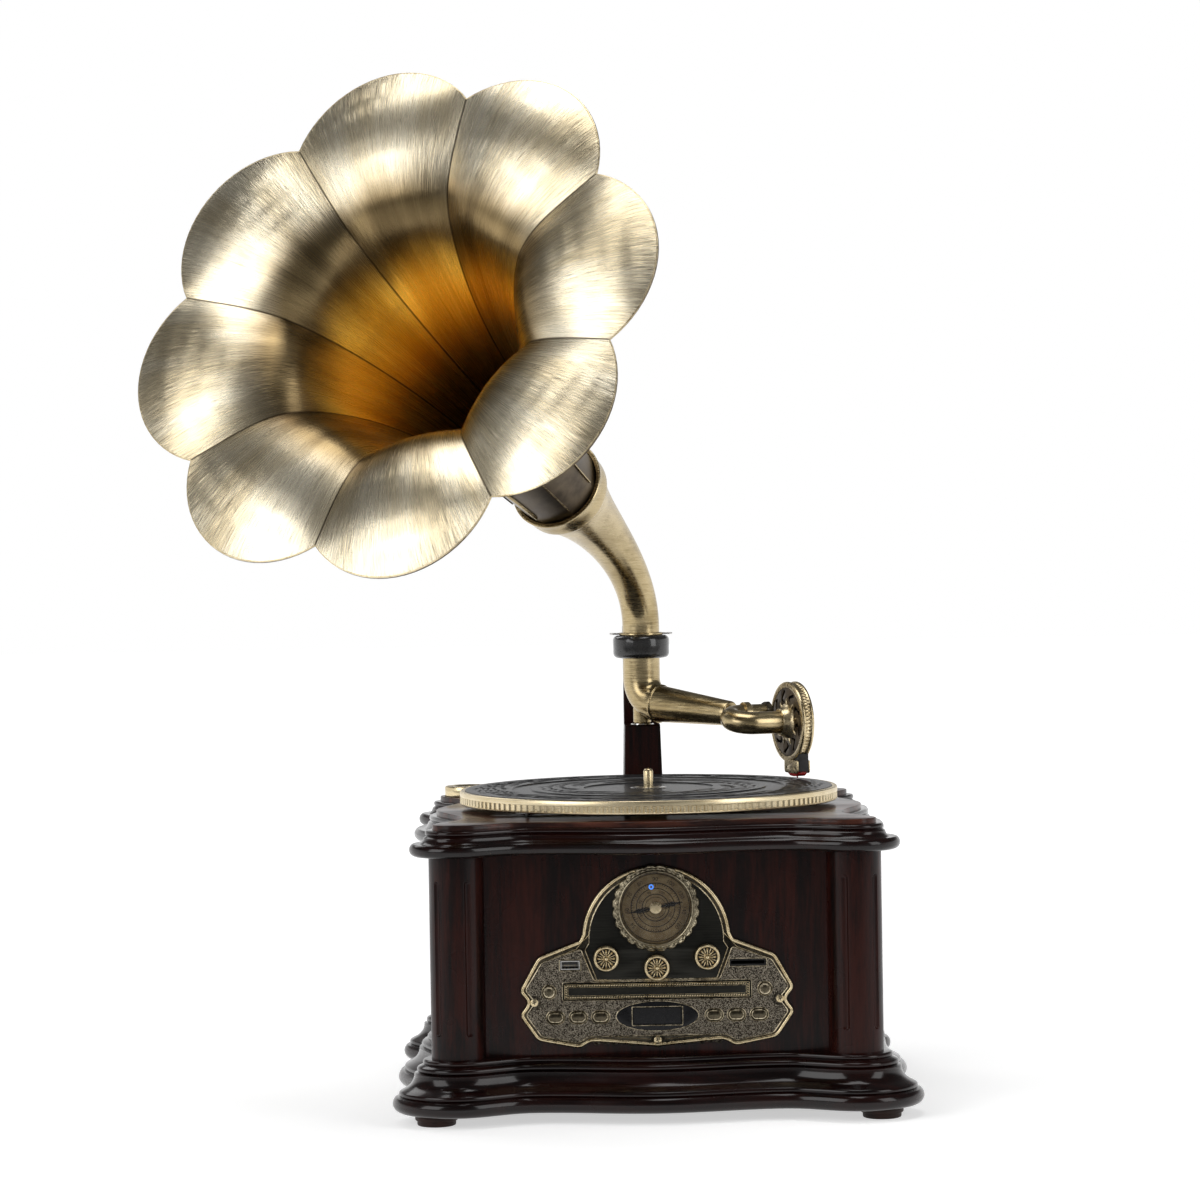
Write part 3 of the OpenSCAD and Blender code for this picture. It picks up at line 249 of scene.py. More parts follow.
class Shape:
    """Points in millimetres and faces of one piece, put together strip by strip in the frame of a place."""

    def __init__(self, place=Matrix()):
        self.points = []
        self.faces = []
        self.slots = []
        self.slot = 0
        self.place = place

    def put(self, points):
        start = len(self.points)
        self.points += [self.place @ Vector(p) for p in points]
        return start

    def face(self, corners):
        self.faces.append(tuple(corners))
        self.slots.append(self.slot)

    def skin(self, rows, ring=True, loop=False, caps=True):
        """Skins rows of points: ring closes each row, loop joins last to first, caps close the ends."""
        width = len(rows[0])
        start = self.put([p for row in rows for p in row])
        for i in range(len(rows) if loop else len(rows) - 1):
            low = start + i * width
            high = start + (i + 1) % len(rows) * width
            for j in range(width if ring else width - 1):
                k = (j + 1) % width
                self.face((low + j, low + k, high + k, high + j))
        if caps and ring and not loop:
            self.face(range(start + width - 1, start - 1, -1))
            self.face(range(start + (len(rows) - 1) * width, start + len(rows) * width))

    def lathe(self, profile, steps=64, loop=True, change=None):
        """Turns a profile of (radius, height) round +Z. change(radius, height, angle) may move a point."""
        rows = []
        for r, z in profile:
            row = []
            for a in around(steps):
                radius, height = change(r, z, a) if change else (r, z)
                row.append((*polar(radius, a), height))
            rows.append(row)
        self.skin(rows, loop=loop, caps=not loop)

    def sweep(self, path, radii, steps=32, flat=1.0, loop=False):
        """A round bar along a path of points; flat squeezes its height."""
        path = [Vector(p) for p in path]
        count = len(path)
        if not hasattr(radii, "__len__"):
            radii = [radii] * count
        side = None
        rows = []
        for i, here in enumerate(path):
            ahead = path[(i + 1) % count] if loop or i < count - 1 else here
            behind = path[i - 1] if loop or i > 0 else here
            along = (ahead - behind).normalized()
            if side is None:
                side = along.orthogonal().normalized()
                if abs(along.z) < 0.9:
                    side = along.cross(Vector((0, 0, 1))).normalized()
            side = (side - along * side.dot(along)).normalized()
            up = along.cross(side)
            rows.append([tuple(here + side * radii[i] * math.cos(a) + up * radii[i] * flat * math.sin(a))
                         for a in around(steps)])
        self.skin(rows, loop=loop)

    def sheet(self, loops, low, high, edge=0.3, both=False):
        """A flat piece between two heights: the first loop is its outline, the others its holes."""
        steps = 3
        tops, bottoms = [], []
        for number, loop in enumerate(loops):
            if (area(loop) > 0) != (number == 0):
                loop = loop[::-1]
            angles = [math.pi / 2 * k / steps for k in range(steps + 1)]
            upper = [(edge * (1 - math.cos(a)), high - edge * (1 - math.sin(a))) for a in angles]
            lower = [(d, low + high - z) for d, z in reversed(upper)] if both else [(0, low)]
            rows = [[(x, y, z) for x, y in inset(loop, d)] for d, z in lower + upper]
            self.skin(rows, caps=False)
            bottoms.append(rows[0])
            tops.append(rows[-1])
        for rings in (tops, bottoms):
            vectors = [[Vector(p) for p in ring] for ring in rings]
            start = self.put([p for ring in rings for p in ring])
            for triple in tessellate_polygon(vectors):
                self.face([start + k for k in triple])

    def ridge(self, loop, width, z, height):
        """A rounded line standing on a surface, along a closed outline."""
        angles = [math.pi * k / 6 for k in range(7)]
        rows = [[(x, y, z + height * math.sin(a)) for x, y in inset(loop, -width / 2 * math.cos(a))]
                for a in angles]
        self.skin(rows, loop=True)

    def beads(self, loop, pitch, r, z, stretch=1.3):
        """A row of small beads along a closed outline, each slanted like the strand of a rope."""
        for x, y, angle in walk(loop, pitch):
            c, s = math.cos(angle + 0.5), math.sin(angle + 0.5)
            rows = []
            for rise, share in ((0.0, 1.0), (0.55, 0.86), (0.9, 0.45)):
                ring = []
                for k in range(6):
                    a = math.pi * k / 3
                    u, v = r * stretch * share * math.cos(a), r * share * math.sin(a)
                    ring.append((x + u * c - v * s, y + u * s + v * c, z + rise * r * 0.8))
                rows.append(ring)
            self.skin(rows)

    def words(self, text, size, x, y, z, angle):
        """Plain figures lying on a surface, 0.12 thick."""
        curve = bpy.data.curves.new("figures", "FONT")
        curve.body = text
        curve.size = size * MM
        curve.align_x = "CENTER"
        curve.align_y = "CENTER"
        curve.extrude = 0.06 * MM
        holder = bpy.data.objects.new("figures", curve)
        mesh = bpy.data.meshes.new_from_object(holder)
        place = shift(x, y, z) @ turn("Z", angle)
        start = self.put([place @ (v.co / MM) for v in mesh.vertices])
        for polygon in mesh.polygons:
            self.face([start + k for k in polygon.vertices])
        bpy.data.objects.remove(holder)
        bpy.data.curves.remove(curve)
        bpy.data.meshes.remove(mesh)

    def build(self, name, body, looks, place=Matrix(), instead=(), sharp=40.0, in_place=False):
        """Makes the object, gives it its looks and hands it to a body of the CAD model."""
        points = [p * MM for p in self.points]
        if in_place:
            points = [place @ p for p in points]
            place = Matrix()
        mesh = bpy.data.meshes.new(name)
        mesh.from_pydata(points, [], self.faces)
        mesh.polygons.foreach_set("material_index", self.slots)
        solid = bmesh.new()
        solid.from_mesh(mesh)
        bmesh.ops.remove_doubles(solid, verts=solid.verts, dist=0.004 * MM)
        bmesh.ops.dissolve_degenerate(solid, edges=solid.edges, dist=0.002 * MM)
        bmesh.ops.recalc_face_normals(solid, faces=solid.faces)
        solid.to_mesh(mesh)
        solid.free()
        mesh.polygons.foreach_set("use_smooth", [True] * len(mesh.polygons))
        mesh.set_sharp_from_angle(angle=math.radians(sharp))
        for look in looks if isinstance(looks, (list, tuple)) else [looks]:
            mesh.materials.append(finish(look))
        piece = bpy.data.objects.new(name, mesh)
        bpy.context.scene.collection.objects.link(piece)
        piece.matrix_world = place
        bpy.context.view_layer.update()
        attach(piece, body)
        if instead:
            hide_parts(*instead)
        return piece


# Materials


class Value:
    """One socket of a material's nodes. Sums, differences, products and quotients of values add nodes."""

    def __init__(self, shader, socket):
        self.shader = shader
        self.socket = socket
        self.kind = socket.type

    def combine(self, other, operation, reflected):
        first, second = (other, self) if reflected else (self, other)
        kinds = {v.kind for v in (first, second) if isinstance(v, Value)}
        if "RGBA" in kinds:
            settings = {"data_type": "RGBA", "blend_type": operation}
            return self.shader.node("ShaderNodeMix", settings, {0: 1.0, 6: first, 7: second}, 2)
        kind = "ShaderNodeVectorMath" if "VECTOR" in kinds else "ShaderNodeMath"
        return self.shader.node(kind, {"operation": operation}, {0: first, 1: second})


def value_operator(operation, reflected):
    return lambda value, other: value.combine(other, operation, reflected)


for short, operation in (("add", "ADD"), ("sub", "SUBTRACT"), ("mul", "MULTIPLY"), ("truediv", "DIVIDE")):
    setattr(Value, f"__{short}__", value_operator(operation, False))
    setattr(Value, f"__r{short}__", value_operator(operation, True))


class Shader:
    """The nodes of one material or of the world."""

    def __init__(self, owner):
        self.owner = owner
        owner.use_nodes = True
        self.tree = owner.node_tree
        self.tree.nodes.clear()

    def fill(self, entry, value):
        if isinstance(value, Value):
            self.tree.links.new(value.socket, entry)
        elif not hasattr(entry.default_value, "__len__"):
            entry.default_value = value
        else:
            count = len(entry.default_value)
            numbers = list(value) if hasattr(value, "__len__") else [value] * 3
            entry.default_value = (numbers + [1.0])[:count]

    def node(self, kind, settings=None, entries=None, output=0):
        """Adds a node of any kind with its settings and its sockets' values or links; returns one output."""
        added = self.tree.nodes.new(kind)
        for key, value in (settings or {}).items():
            setattr(added, key, value)
        for key, value in (entries or {}).items():
            self.fill(added.inputs[key], value)
        return Value(self, added.outputs[output]) if added.outputs else None

    def place(self):
        """Where a point lies on its own object, in metres."""
        return self.node("ShaderNodeTexCoord", output="Object")

    def axes(self, vector):
        x = self.node("ShaderNodeSeparateXYZ", None, {0: vector})
        return [Value(self, socket) for socket in x.socket.node.outputs]

    def vector(self, x, y, z):
        return self.node("ShaderNodeCombineXYZ", None, {0: x, 1: y, 2: z})

    def math(self, operation, *values):
        return self.node("ShaderNodeMath", {"operation": operation}, dict(enumerate(values)))

    def noise(self, vector, scale=1.0, detail=3.0, rough=0.5):
        entries = {"Vector": vector, "Scale": scale, "Detail": detail, "Roughness": rough}
        return self.node("ShaderNodeTexNoise", None, entries)

    def span(self, value, low, high, start=0.0, end=1.0):
        """A value carried smoothly from the range low to high onto start to end."""
        entries = {0: value, 1: low, 2: high, 3: start, 4: end}
        return self.node("ShaderNodeMapRange", {"interpolation_type": "SMOOTHSTEP"}, entries)

    def blend(self, factor, first, second):
        return self.node("ShaderNodeMix", {"data_type": "RGBA"}, {0: factor, 6: first, 7: second}, 2)

    def bump(self, height, distance):
        """A normal from a height between 0 and 1; distance in millimetres."""
        entries = {"Strength": 1.0, "Distance": distance * MM, "Height": height}
        return self.node("ShaderNodeBump", None, entries)

    def round(self):
        """Cylinder coordinates about the object's own Z: the angle, the radius and the height."""
        x, y, z = self.axes(self.place())
        return self.math("ARCTAN2", y, x), self.math("SQRT", x * x + y * y), z

    def surface(self, entries):
        out = self.node("ShaderNodeBsdfPrincipled", None, entries)
        self.node("ShaderNodeOutputMaterial", None, {"Surface": out})
        return self.owner


def wood(shader, dark, light, stretch, coat, rough=0.3):
    """Lacquered or bare wood; stretch is the grain's fineness along X, Y and Z, in lines per metre."""
    place = shader.place()
    flow = shader.noise(place * 9.0, 1.0, 2.0)
    grain = shader.noise(place * stretch + flow * 1.5, 1.0, 5.0, 0.6)
    fine = shader.noise(place * tuple(4.5 * s for s in stretch), 1.0, 3.0, 0.7)
    mixed = shader.span(grain * 0.7 + fine * 0.3, 0.38, 0.64)
    colour = shader.blend(mixed, dark, light)
    worn = shader.noise(place * 30.0, 1.0, 2.0)
    return shader.surface({
        "Base Color": colour, "Roughness": shader.span(worn, 0.3, 0.7, rough - 0.05, rough + 0.08),
        "Coat Weight": coat, "Coat Roughness": 0.12, "Specular IOR Level": 0.12,
        "Normal": shader.bump(fine, 0.03)})


def metal(shader, deep, pale, stretch, rough, patina=(0.3, 0.62), lines=0.02, blot=22.0):
    """Brushed or plain metal: stretch is how fine its lines are, and pale its colour where it is rubbed."""
    place = shader.place()
    lined = shader.noise(place * stretch, 1.0, 4.0, 0.65)
    cloud = shader.noise(place * blot, 1.0, 3.0)
    rubbed = shader.span(cloud * 0.55 + lined * 0.45, *patina)
    return shader.surface({
        "Base Color": shader.blend(rubbed, deep, pale), "Metallic": 1.0,
        "Roughness": shader.span(lined * 0.7 + cloud * 0.3, 0.25, 0.75, rough - 0.07, rough + 0.1),
        "Normal": shader.bump(lined, lines)})


def plain(shader, base, other, scale, rough, coat=0.0, bumps=0.03):
    """Plastic, rubber, paint or card, with a slight mottle."""
    place = shader.place()
    cloud = shader.noise(place * scale, 1.0, 3.0)
    fine = shader.noise(place * (scale * 6.0), 1.0, 2.0)
    return shader.surface({
        "Base Color": shader.blend(shader.span(cloud, 0.35, 0.65), base, other),
        "Roughness": shader.span(fine, 0.3, 0.7, rough - 0.06, rough + 0.06), "Specular IOR Level": 0.25,
        "Coat Weight": coat, "Coat Roughness": 0.08, "Normal": shader.bump(fine, bumps)})


def turned_metal(shader, deep, pale, rough):
    """Metal cut on a lathe: fine rings round the object's own Z."""
    rings = 2600.0
    angle, radius, height = shader.round()
    lined = shader.noise(shader.vector(radius * rings, angle * 1.5, height * rings), 1.0, 3.0, 0.6)
    cloud = shader.noise(shader.place() * 30.0, 1.0, 3.0)
    rubbed = shader.span(cloud * 0.5 + lined * 0.5, 0.35, 0.65)
    return shader.surface({
        "Base Color": shader.blend(rubbed, deep, pale), "Metallic": 1.0,
        "Roughness": shader.span(lined, 0.3, 0.7, rough - 0.05, rough + 0.08),
        "Anisotropic": 0.6, "Normal": shader.bump(lined, 0.01)})


def horn_metal(shader, deep, pale):
    """Brushed sheet: brush lines run along each petal and spread its highlights round the horn's axis."""
    axes = [tuple(HORN.col[i][:3]) for i in range(3)]
    offset = shader.place() - tuple(HORN.translation)
    x, y, height = (shader.node("ShaderNodeVectorMath", {"operation": "DOT_PRODUCT"}, {0: offset, 1: axis}, 1)
                    for axis in axes)
    angle = shader.math("ARCTAN2", y, x)
    radius = shader.math("SQRT", x * x + y * y)
    fine = shader.noise(shader.vector(angle * 3400.0, radius * 60.0, height * 60.0), 1.0, 0.0)
    streak = shader.noise(shader.vector(angle * 420.0, radius * 6.0, height * 6.0), 1.0, 3.0, 0.65)
    broad = shader.noise(shader.vector(angle * 5.0, radius * 9.0, height * 7.0), 1.0, 2.0)
    rubbed = shader.span(streak * 0.22 + broad * 0.78, 0.34, 0.66)
    rim = shader.blend(rubbed, deep, pale)
    # bend: a dark brown band where the flare bends near the mouth, partly the brass's own darker tone and
    # mostly painted dark reflection
    bend = shader.blend(rubbed, (0.15, 0.105, 0.05), (0.31, 0.225, 0.11))
    amber = shader.blend(rubbed, (0.76, 0.5, 0.125), (0.99, 0.74, 0.27))
    # dark: painted shade deep inside the throat, blending into the amber above it
    dark = shader.blend(rubbed, (0.27, 0.14, 0.025), (0.48, 0.27, 0.06))
    colour = shader.blend(shader.span(height, 0.05, 0.16), dark, amber)
    # Lays the painted dark reflection band over the bend, inside the pale rim
    colour = shader.blend(shader.span(height, 0.205, 0.245), colour, bend)
    colour = shader.blend(shader.span(radius, 0.1, 0.135), colour, rim)
    # A near-black line along each seam: painted shade in the crease between two petals
    seams = shader.math("ABSOLUTE", shader.math("SINE", (angle - math.radians(FIRST_SEAM)) * (PETALS / 2)))
    colour = shader.blend(shader.span(seams * radius, 0.0008, 0.004, 0.9, 0.0), colour, (0.06, 0.04, 0.02))
    sideways = shader.node("ShaderNodeVectorMath", {"operation": "CROSS_PRODUCT"}, {0: axes[2], 1: offset})
    sideways = shader.node("ShaderNodeVectorMath", {"operation": "NORMALIZE"}, {0: sideways})
    sideways = shader.node("ShaderNodeVectorTransform", {"vector_type": "VECTOR", "convert_from": "OBJECT",
                                                         "convert_to": "WORLD"}, {0: sideways})
    faced = shader.node("ShaderNodeNewGeometry", output="Normal")
    lean = (fine - 0.5) * 1.05
    normal = shader.node("ShaderNodeVectorMath", {"operation": "NORMALIZE"},
                         {0: faced + sideways * shader.vector(lean, lean, lean)})
    return shader.surface({
        "Base Color": colour, "Metallic": 1.0, "Roughness": shader.span(streak, 0.3, 0.7, 0.25, 0.29),
        "Normal": normal})


def pebbled(shader):
    """The cast wings of the control plate: small grains, dark between and rubbed bright on top."""
    place = shader.place()
    cells = shader.node("ShaderNodeTexVoronoi", {"feature": "SMOOTH_F1"}, {"Vector": place, "Scale": 1700.0})
    grains = shader.span(cells, 0.1, 0.65, 1.0, 0.0)
    cloud = shader.noise(place * 260.0, 1.0, 3.0)
    rubbed = shader.span(grains * 0.7 + cloud * 0.4, 0.25, 0.85)
    colour = shader.blend(rubbed, (0.025, 0.021, 0.017), (0.33, 0.29, 0.225))
    return shader.surface({
        "Base Color": colour, "Metallic": 1.0,
        "Roughness": shader.span(cloud, 0.3, 0.7, 0.36, 0.5), "Normal": shader.bump(grains, 0.28)})


def glass(shader):
    smear = shader.noise(shader.place() * 60.0, 1.0, 3.0)
    return shader.surface({
        "Base Color": (0.05, 0.05, 0.05), "Roughness": 0.06,
        "Alpha": shader.span(smear, 0.35, 0.7, 0.06, 0.12)})


def lamp_light(shader):
    place = shader.place()
    flicker = shader.noise(place * 900.0, 1.0, 2.0)
    colour = shader.blend(flicker, (0.05, 0.2, 0.9), (0.1, 0.35, 1.0))
    return shader.surface({
        "Base Color": colour, "Emission Color": colour, "Emission Strength": 0.9,
        "Roughness": shader.span(flicker, 0.3, 0.7, 0.3, 0.4)})


LOOKS = {
    "mahogany": (wood, ((0.003, 0.0005, 0.0004), (0.032, 0.0052, 0.0028), (80.0, 80.0, 7.0), 0.14)),
    "mahogany_x": (wood, ((0.003, 0.0006, 0.0005), (0.014, 0.0026, 0.0018), (8.0, 60.0, 60.0), 0.5, 0.24)),
    "mahogany_deck": (wood, ((0.014, 0.004, 0.003), (0.1, 0.028, 0.015), (7.0, 75.0, 75.0), 0.3, 0.34)),
    "inner_wood": (wood, ((0.3, 0.19, 0.11), (0.5, 0.36, 0.23), (10.0, 90.0, 90.0), 0.0, 0.6)),
    "dark_feet": (plain, ((0.02, 0.008, 0.006), (0.035, 0.014, 0.01), 120.0, 0.5)),
    "black_metal": (plain, ((0.012, 0.012, 0.012), (0.022, 0.021, 0.02), 90.0, 0.3, 0.8, 0.01)),
    "black_field": (metal, ((0.01, 0.01, 0.009), (0.03, 0.029, 0.025), (30.0, 1500.0, 30.0), 0.36)),
    "chrome": (metal, ((0.55, 0.55, 0.54), (0.8, 0.79, 0.77), 60.0, 0.16)),
    "bronze": (metal, ((0.02, 0.018, 0.014), (0.13, 0.112, 0.082), 240.0, 0.36, (0.35, 0.7))),
    "gold": (metal, ((0.33, 0.25, 0.13), (0.72, 0.6, 0.38), 400.0, 0.28, (0.3, 0.6), 0.02, 60.0)),
    "old_gold": (metal, ((0.1, 0.082, 0.052), (0.6, 0.52, 0.37), 500.0, 0.26, (0.32, 0.62), 0.03, 130.0)),
    "pale_gold": (turned_metal, ((0.55, 0.43, 0.24), (0.82, 0.7, 0.46), 0.24)),
    "antique_brass": (metal, ((0.3, 0.225, 0.11), (0.56, 0.45, 0.26), (60.0, 60.0, 900.0), 0.25, (0.32, 0.62),
                              0.006, 26.0)),
    "horn": (horn_metal, ((0.6, 0.505, 0.335), (0.84, 0.76, 0.59))),
    "horn_back": (metal, ((0.045, 0.033, 0.022), (0.15, 0.115, 0.075), 60.0, 0.34)),
    "pebbled": (pebbled, ()),
    "card": (plain, ((0.17, 0.12, 0.06), (0.26, 0.19, 0.1), 160.0, 0.5)),
    "ink": (plain, ((0.006, 0.005, 0.004), (0.014, 0.012, 0.01), 400.0, 0.6)),
    "clear_glass": (glass, ()),
    "display": (plain, ((0.002, 0.002, 0.003), (0.004, 0.004, 0.005), 60.0, 0.3, 0.0, 0.004)),
    "steel": (metal, ((0.45, 0.44, 0.42), (0.68, 0.67, 0.65), (50.0, 900.0, 50.0), 0.26)),
    "board": (plain, ((0.03, 0.13, 0.06), (0.05, 0.2, 0.09), 200.0, 0.4, 0.3)),
    "black_plastic": (plain, ((0.02, 0.02, 0.02), (0.035, 0.034, 0.033), 150.0, 0.4)),
    "iron": (metal, ((0.2, 0.19, 0.18), (0.36, 0.35, 0.33), (120.0, 120.0, 900.0), 0.5)),
    "rubber": (plain, ((0.012, 0.012, 0.013), (0.028, 0.028, 0.029), 220.0, 0.42, 0.15, 0.03)),
    "champagne": (turned_metal, ((0.66, 0.54, 0.33), (0.85, 0.73, 0.5), 0.27)),
    "button": (metal, ((0.03, 0.026, 0.017), (0.13, 0.11, 0.075), 300.0, 0.3)),
    "bezel": (metal, ((0.035, 0.03, 0.021), (0.34, 0.295, 0.205), 420.0, 0.3)),
    "red": (plain, ((0.45, 0.008, 0.008), (0.62, 0.02, 0.015), 120.0, 0.3, 0.5, 0.01)),
    "white_plastic": (plain, ((0.6, 0.58, 0.54), (0.72, 0.7, 0.66), 120.0, 0.35, 0.3, 0.01)),
    "blue_light": (lamp_light, ()),
}


def lighter(name):
    """The lighter of a look's two colours."""
    return LOOKS[name][1][1]


def finish(name):
    """The material of a look, made the first time it is asked for."""
    made = bpy.data.materials.get("look_" + name)
    if made:
        return made
    maker, numbers = LOOKS[name]
    if name in ColourSettings.__annotations__:
        numbers = (numbers[0], getattr(bpy.context.scene.hornstereo_colours, name), *numbers[2:])
    return maker(Shader(bpy.data.materials.new("look_" + name)), *numbers)


# The cabinet


def wave(u, middle):
    """How far a side lies behind the corner lobes, at a place u along it."""
    x = abs(u)
    deep = COLUMN_PLACE * 0.63
    if x < deep:
        return middle + (LOBE_HOLLOW - middle) * (1 - math.cos(math.pi * x / deep)) / 2
    return LOBE_HOLLOW * (1 + math.cos(math.pi * (x - deep) / (COLUMN_PLACE - deep))) / 2


def cabinet_outline(half, reach, gap=0.0, wavy=True, fine=40):
    """The cabinet's outline at a reach past the column axes, from the middle of the back all round."""

    def side(shares, middle):
        return [(u * half, (wave(u * half, middle) if wavy else 0) - half - reach) for u in shares]

    def turned(path, degrees):
        c, s = math.cos(math.radians(degrees)), math.sin(math.radians(degrees))
        return [(x * c - y * s, x * s + y * c) for x, y in path]

    g = gap / half
    whole = [i / fine for i in range(-fine, fine)]
    second = [g + (1 - g) * i / fine for i in range(fine)]
    first = [-1 + (1 - g) * i / fine for i in range(fine + 1 if gap else fine)]
    corner = arc(half, -half, reach, -90, 0, 20)[:-1]
    return (turned(side(second, 0) + corner, 180) + turned(side(whole, 0) + corner, 270)
            + side(whole, FRONT_DIP) + corner + turned(side(whole, 0) + corner, 90)
            + turned(side(first, 0), 180))


def add_moulding(shape, profile, low, high, gap):
    """Sweeps profile points (reach, height), from the top down, round the cabinet."""
    rows = [cabinet_outline(COLUMN_PLACE, reach, gap) for reach, _ in profile]
    inner = cabinet_outline(INNER_HALF, 6.0, gap, False)
    heights = [height for _, height in profile]
    sections = []
    for i, (x, y) in enumerate(inner):
        outside = [(*row[i], height) for row, height in zip(rows, heights)]
        sections.append([(x, y, high), (x, y, low)] + outside[::-1])
    shape.skin(sections, loop=gap == 0)


def base_profile():
    t, b, r = Z_WALL, FOOT_H, BASE_REACH
    return (arc(r - 24.4, t - 2, 2, 90, -50, 8) + arc(r - 20.4, t - 7.2, 2.3, 60, -60, 8)
            + arc(r - 4.2, t - 10, 12, 180, 240, 10) + arc(r - 7.2, b + 13.2, 2.6, 50, -40, 8)
            + arc(r - 6.2, b + 6.2, 6.2, 50, -90, 14))


def top_profile():
    b, r = Z_TOP, TOP_REACH
    return ([(r - 14.5, Z_UNDER)] + arc(r - 13.8, Z_UNDER - 2.1, 2.1, 60, -60, 8)
            + arc(r - 4.6, Z_UNDER - 4.4, 6.2, 190, 240, 8) + arc(r - 4.9, b + 5.2, 4.9, 60, -90, 14))


def column_rows(depth, flute_r):
    """Rows of one corner column, about its own axis: round outside, cut square where the walls meet it."""
    back = COLUMN_PLACE - WALL_OUT
    edge = math.degrees(math.acos(-back / COLUMN_R))
    angles = [-edge + (2 * edge + 90) * k / 150 for k in range(151)]
    middle = Z_WALL + (Z_TOP - Z_WALL) / 2
    half = (Z_TOP - Z_WALL) / 2 - 17
    levels = [Z_WALL, Z_WALL + 12]
    levels += [middle - half + 0.5 * k - 2 for k in range(11)]
    levels += [middle + half - 3 + 0.5 * k for k in range(11)] + [Z_TOP - 12, Z_TOP]
    rows = []
    for z in levels:
        row = [(-back, -back, z)]
        for a in angles:
            hollow = 0.0
            for flute in (-25, 45, 115):
                off = math.radians(abs((a - flute + 180) % 360 - 180)) * COLUMN_R
                over = max(0.0, abs(z - middle) - (half - flute_r))
                away = math.hypot(off, over) / flute_r
                if away < 1:
                    hollow = depth * math.sqrt(1 - away * away)
            r = COLUMN_R - hollow
            row.append((r * math.cos(math.radians(a)), r * math.sin(math.radians(a)), z))
        rows.append(row)
    return rows


def build_cabinet(settings):
    shape = Shape()
    add_moulding(shape, base_profile(), FOOT_H, Z_WALL, 0.0)
    shape.build("base_moulding_look", "cabinet", "mahogany_x", Matrix(), ["base_moulding"], 30)

    shape = Shape()
    add_moulding(shape, top_profile(), Z_TOP, Z_UNDER, PILLAR_GAP)
    shape.build("top_moulding_look", "cabinet", "mahogany_x", Matrix(), ["top_moulding"], 30)

    build_columns(settings)
    build_deck()
    build_pillar()
    build_grilles()
    build_rear_rings()
    build_screws()


def build_columns(settings):
    shape = Shape()
    for x, y in ((1, 1), (-1, 1), (-1, -1), (1, -1)):
        corner = shift(x * COLUMN_PLACE, y * COLUMN_PLACE, 0)
        shape.place = corner @ Matrix.Diagonal((x, y, 1, 1))
        shape.skin(column_rows(settings.flute_depth / MM, settings.flute_width / MM))
    shape.build("columns_look", "cabinet", "mahogany", instead=["corner_columns"], sharp=50)


def build_deck():
    """The deck with its bores, and the feet."""
    shape = Shape()
    notch = [(PILLAR_GAP, ARM_Y - 5.2), (-PILLAR_GAP, ARM_Y - 5.2)]
    edge = cabinet_outline(COLUMN_PLACE, DECK_REACH, PILLAR_GAP) + notch
    bores = [circle(0, 0, 8.1), circle(*MOTOR_AT, 5)]
    seat = Z_DECK - 1.5
    shape.sheet([edge, circle(-ADAPTER_PLACE, ADAPTER_PLACE, ADAPTER_R + 0.3, 64)] + bores, seat, Z_DECK, 0.8)
    shape.sheet([edge] + bores, Z_UNDER, seat, 0.1)
    shape.sheet([cabinet_outline(INNER_HALF, 5.9, 0, False, 4)] + bores, Z_UNDER - 8.2, Z_UNDER, 0.1)
    shape.build("deck_look", "cabinet", "mahogany_deck", instead=["deck_board"], sharp=30)

    shape = Shape()
    for x in (-1, 1):
        for y in (-1, 1):
            shape.place = shift(x * FOOT_PLACE, y * FOOT_PLACE, 0)
            shape.lathe([(0, 0), (12.6, 0), (13.6, 0.4), (14, 1.2), (14, 3.4), (14.4, 3.8), (15.1, 4),
                         (15.5, 4.6), (15.5, 7.4), (15.1, FOOT_H), (0, FOOT_H)], 64, loop=False)
    shape.build("feet_look", "cabinet", "dark_feet", instead=["feet"])


def build_pillar():
    """The pillar on the back with its collar and its lower pivot."""
    shape = Shape(shift(0, PILLAR_BACK, 0) @ turn("X", 90))
    deep = PILLAR_BACK - (ARM_Y - 5)
    low, high = PILLAR_HALF, PILLAR_HALF - 1.5
    shape.sheet([[(-low, Z_UNDER - 1), (low, Z_UNDER - 1), (low, Z_DECK), (high, Z_LEDGE), (-high, Z_LEDGE),
                  (-low, Z_DECK)]], 0, deep, 1.2, True)
    shape.sheet([box(0, (Z_PILLAR + Z_UNDER) / 2, 2 * low, Z_UNDER - Z_PILLAR - 0.1)], 0,
                PILLAR_BACK - WALL_OUT, 1.0, True)
    shape.sheet([box(0, (Z_LEDGE + Z_COLLAR_TOP) / 2 - 1, 2 * high, Z_COLLAR_TOP - Z_LEDGE + 2)], 0,
                PILLAR_BACK - POST_FRONT, 1.0, True)
    shape.sheet([box(0, Z_COLLAR_TOP + 1.5, 2 * high, 9)], 0, PILLAR_BACK - POST_FRONT - 4, 1.0, True)
    shape.build("pillar_look", "cabinet", "mahogany", instead=["arm_pillar"], sharp=30)

    shape = Shape(shift(0, ARM_Y, Z_COLLAR))
    shape.lathe([(14.6, 0.3), (15.2, 0)] + arc(18.2, 4, 4, -90, 0, 6) + arc(18.2, 14, 4, 0, 90, 6)
                + [(17.2, 18), (16.8, 17.4), (15.2, 17.4), (14.6, 17)], 96)
    shape.sheet([box(0, 25.1 - 3, 16, 7, 0.6)], 3, 15, 0.8, True)
    shape.build("collar_look", "cabinet", "black_metal", instead=["horn_collar"])

    shape = Shape(shift(0, ARM_Y, Z_LEDGE))
    shape.lathe([(0, -14), (4, -14), (4, 0), (8.4, 0), (9, 0.5), (8.8, 1.2), (8, 1.5), (3.4, 1.5), (3, 1.9),
                 (3, 4.9), (2.4, 5.5), (0, 5.5)], 48, loop=False)
    shape.build("lower_pivot_look", "cabinet", "chrome", instead=["lower_pivot"])


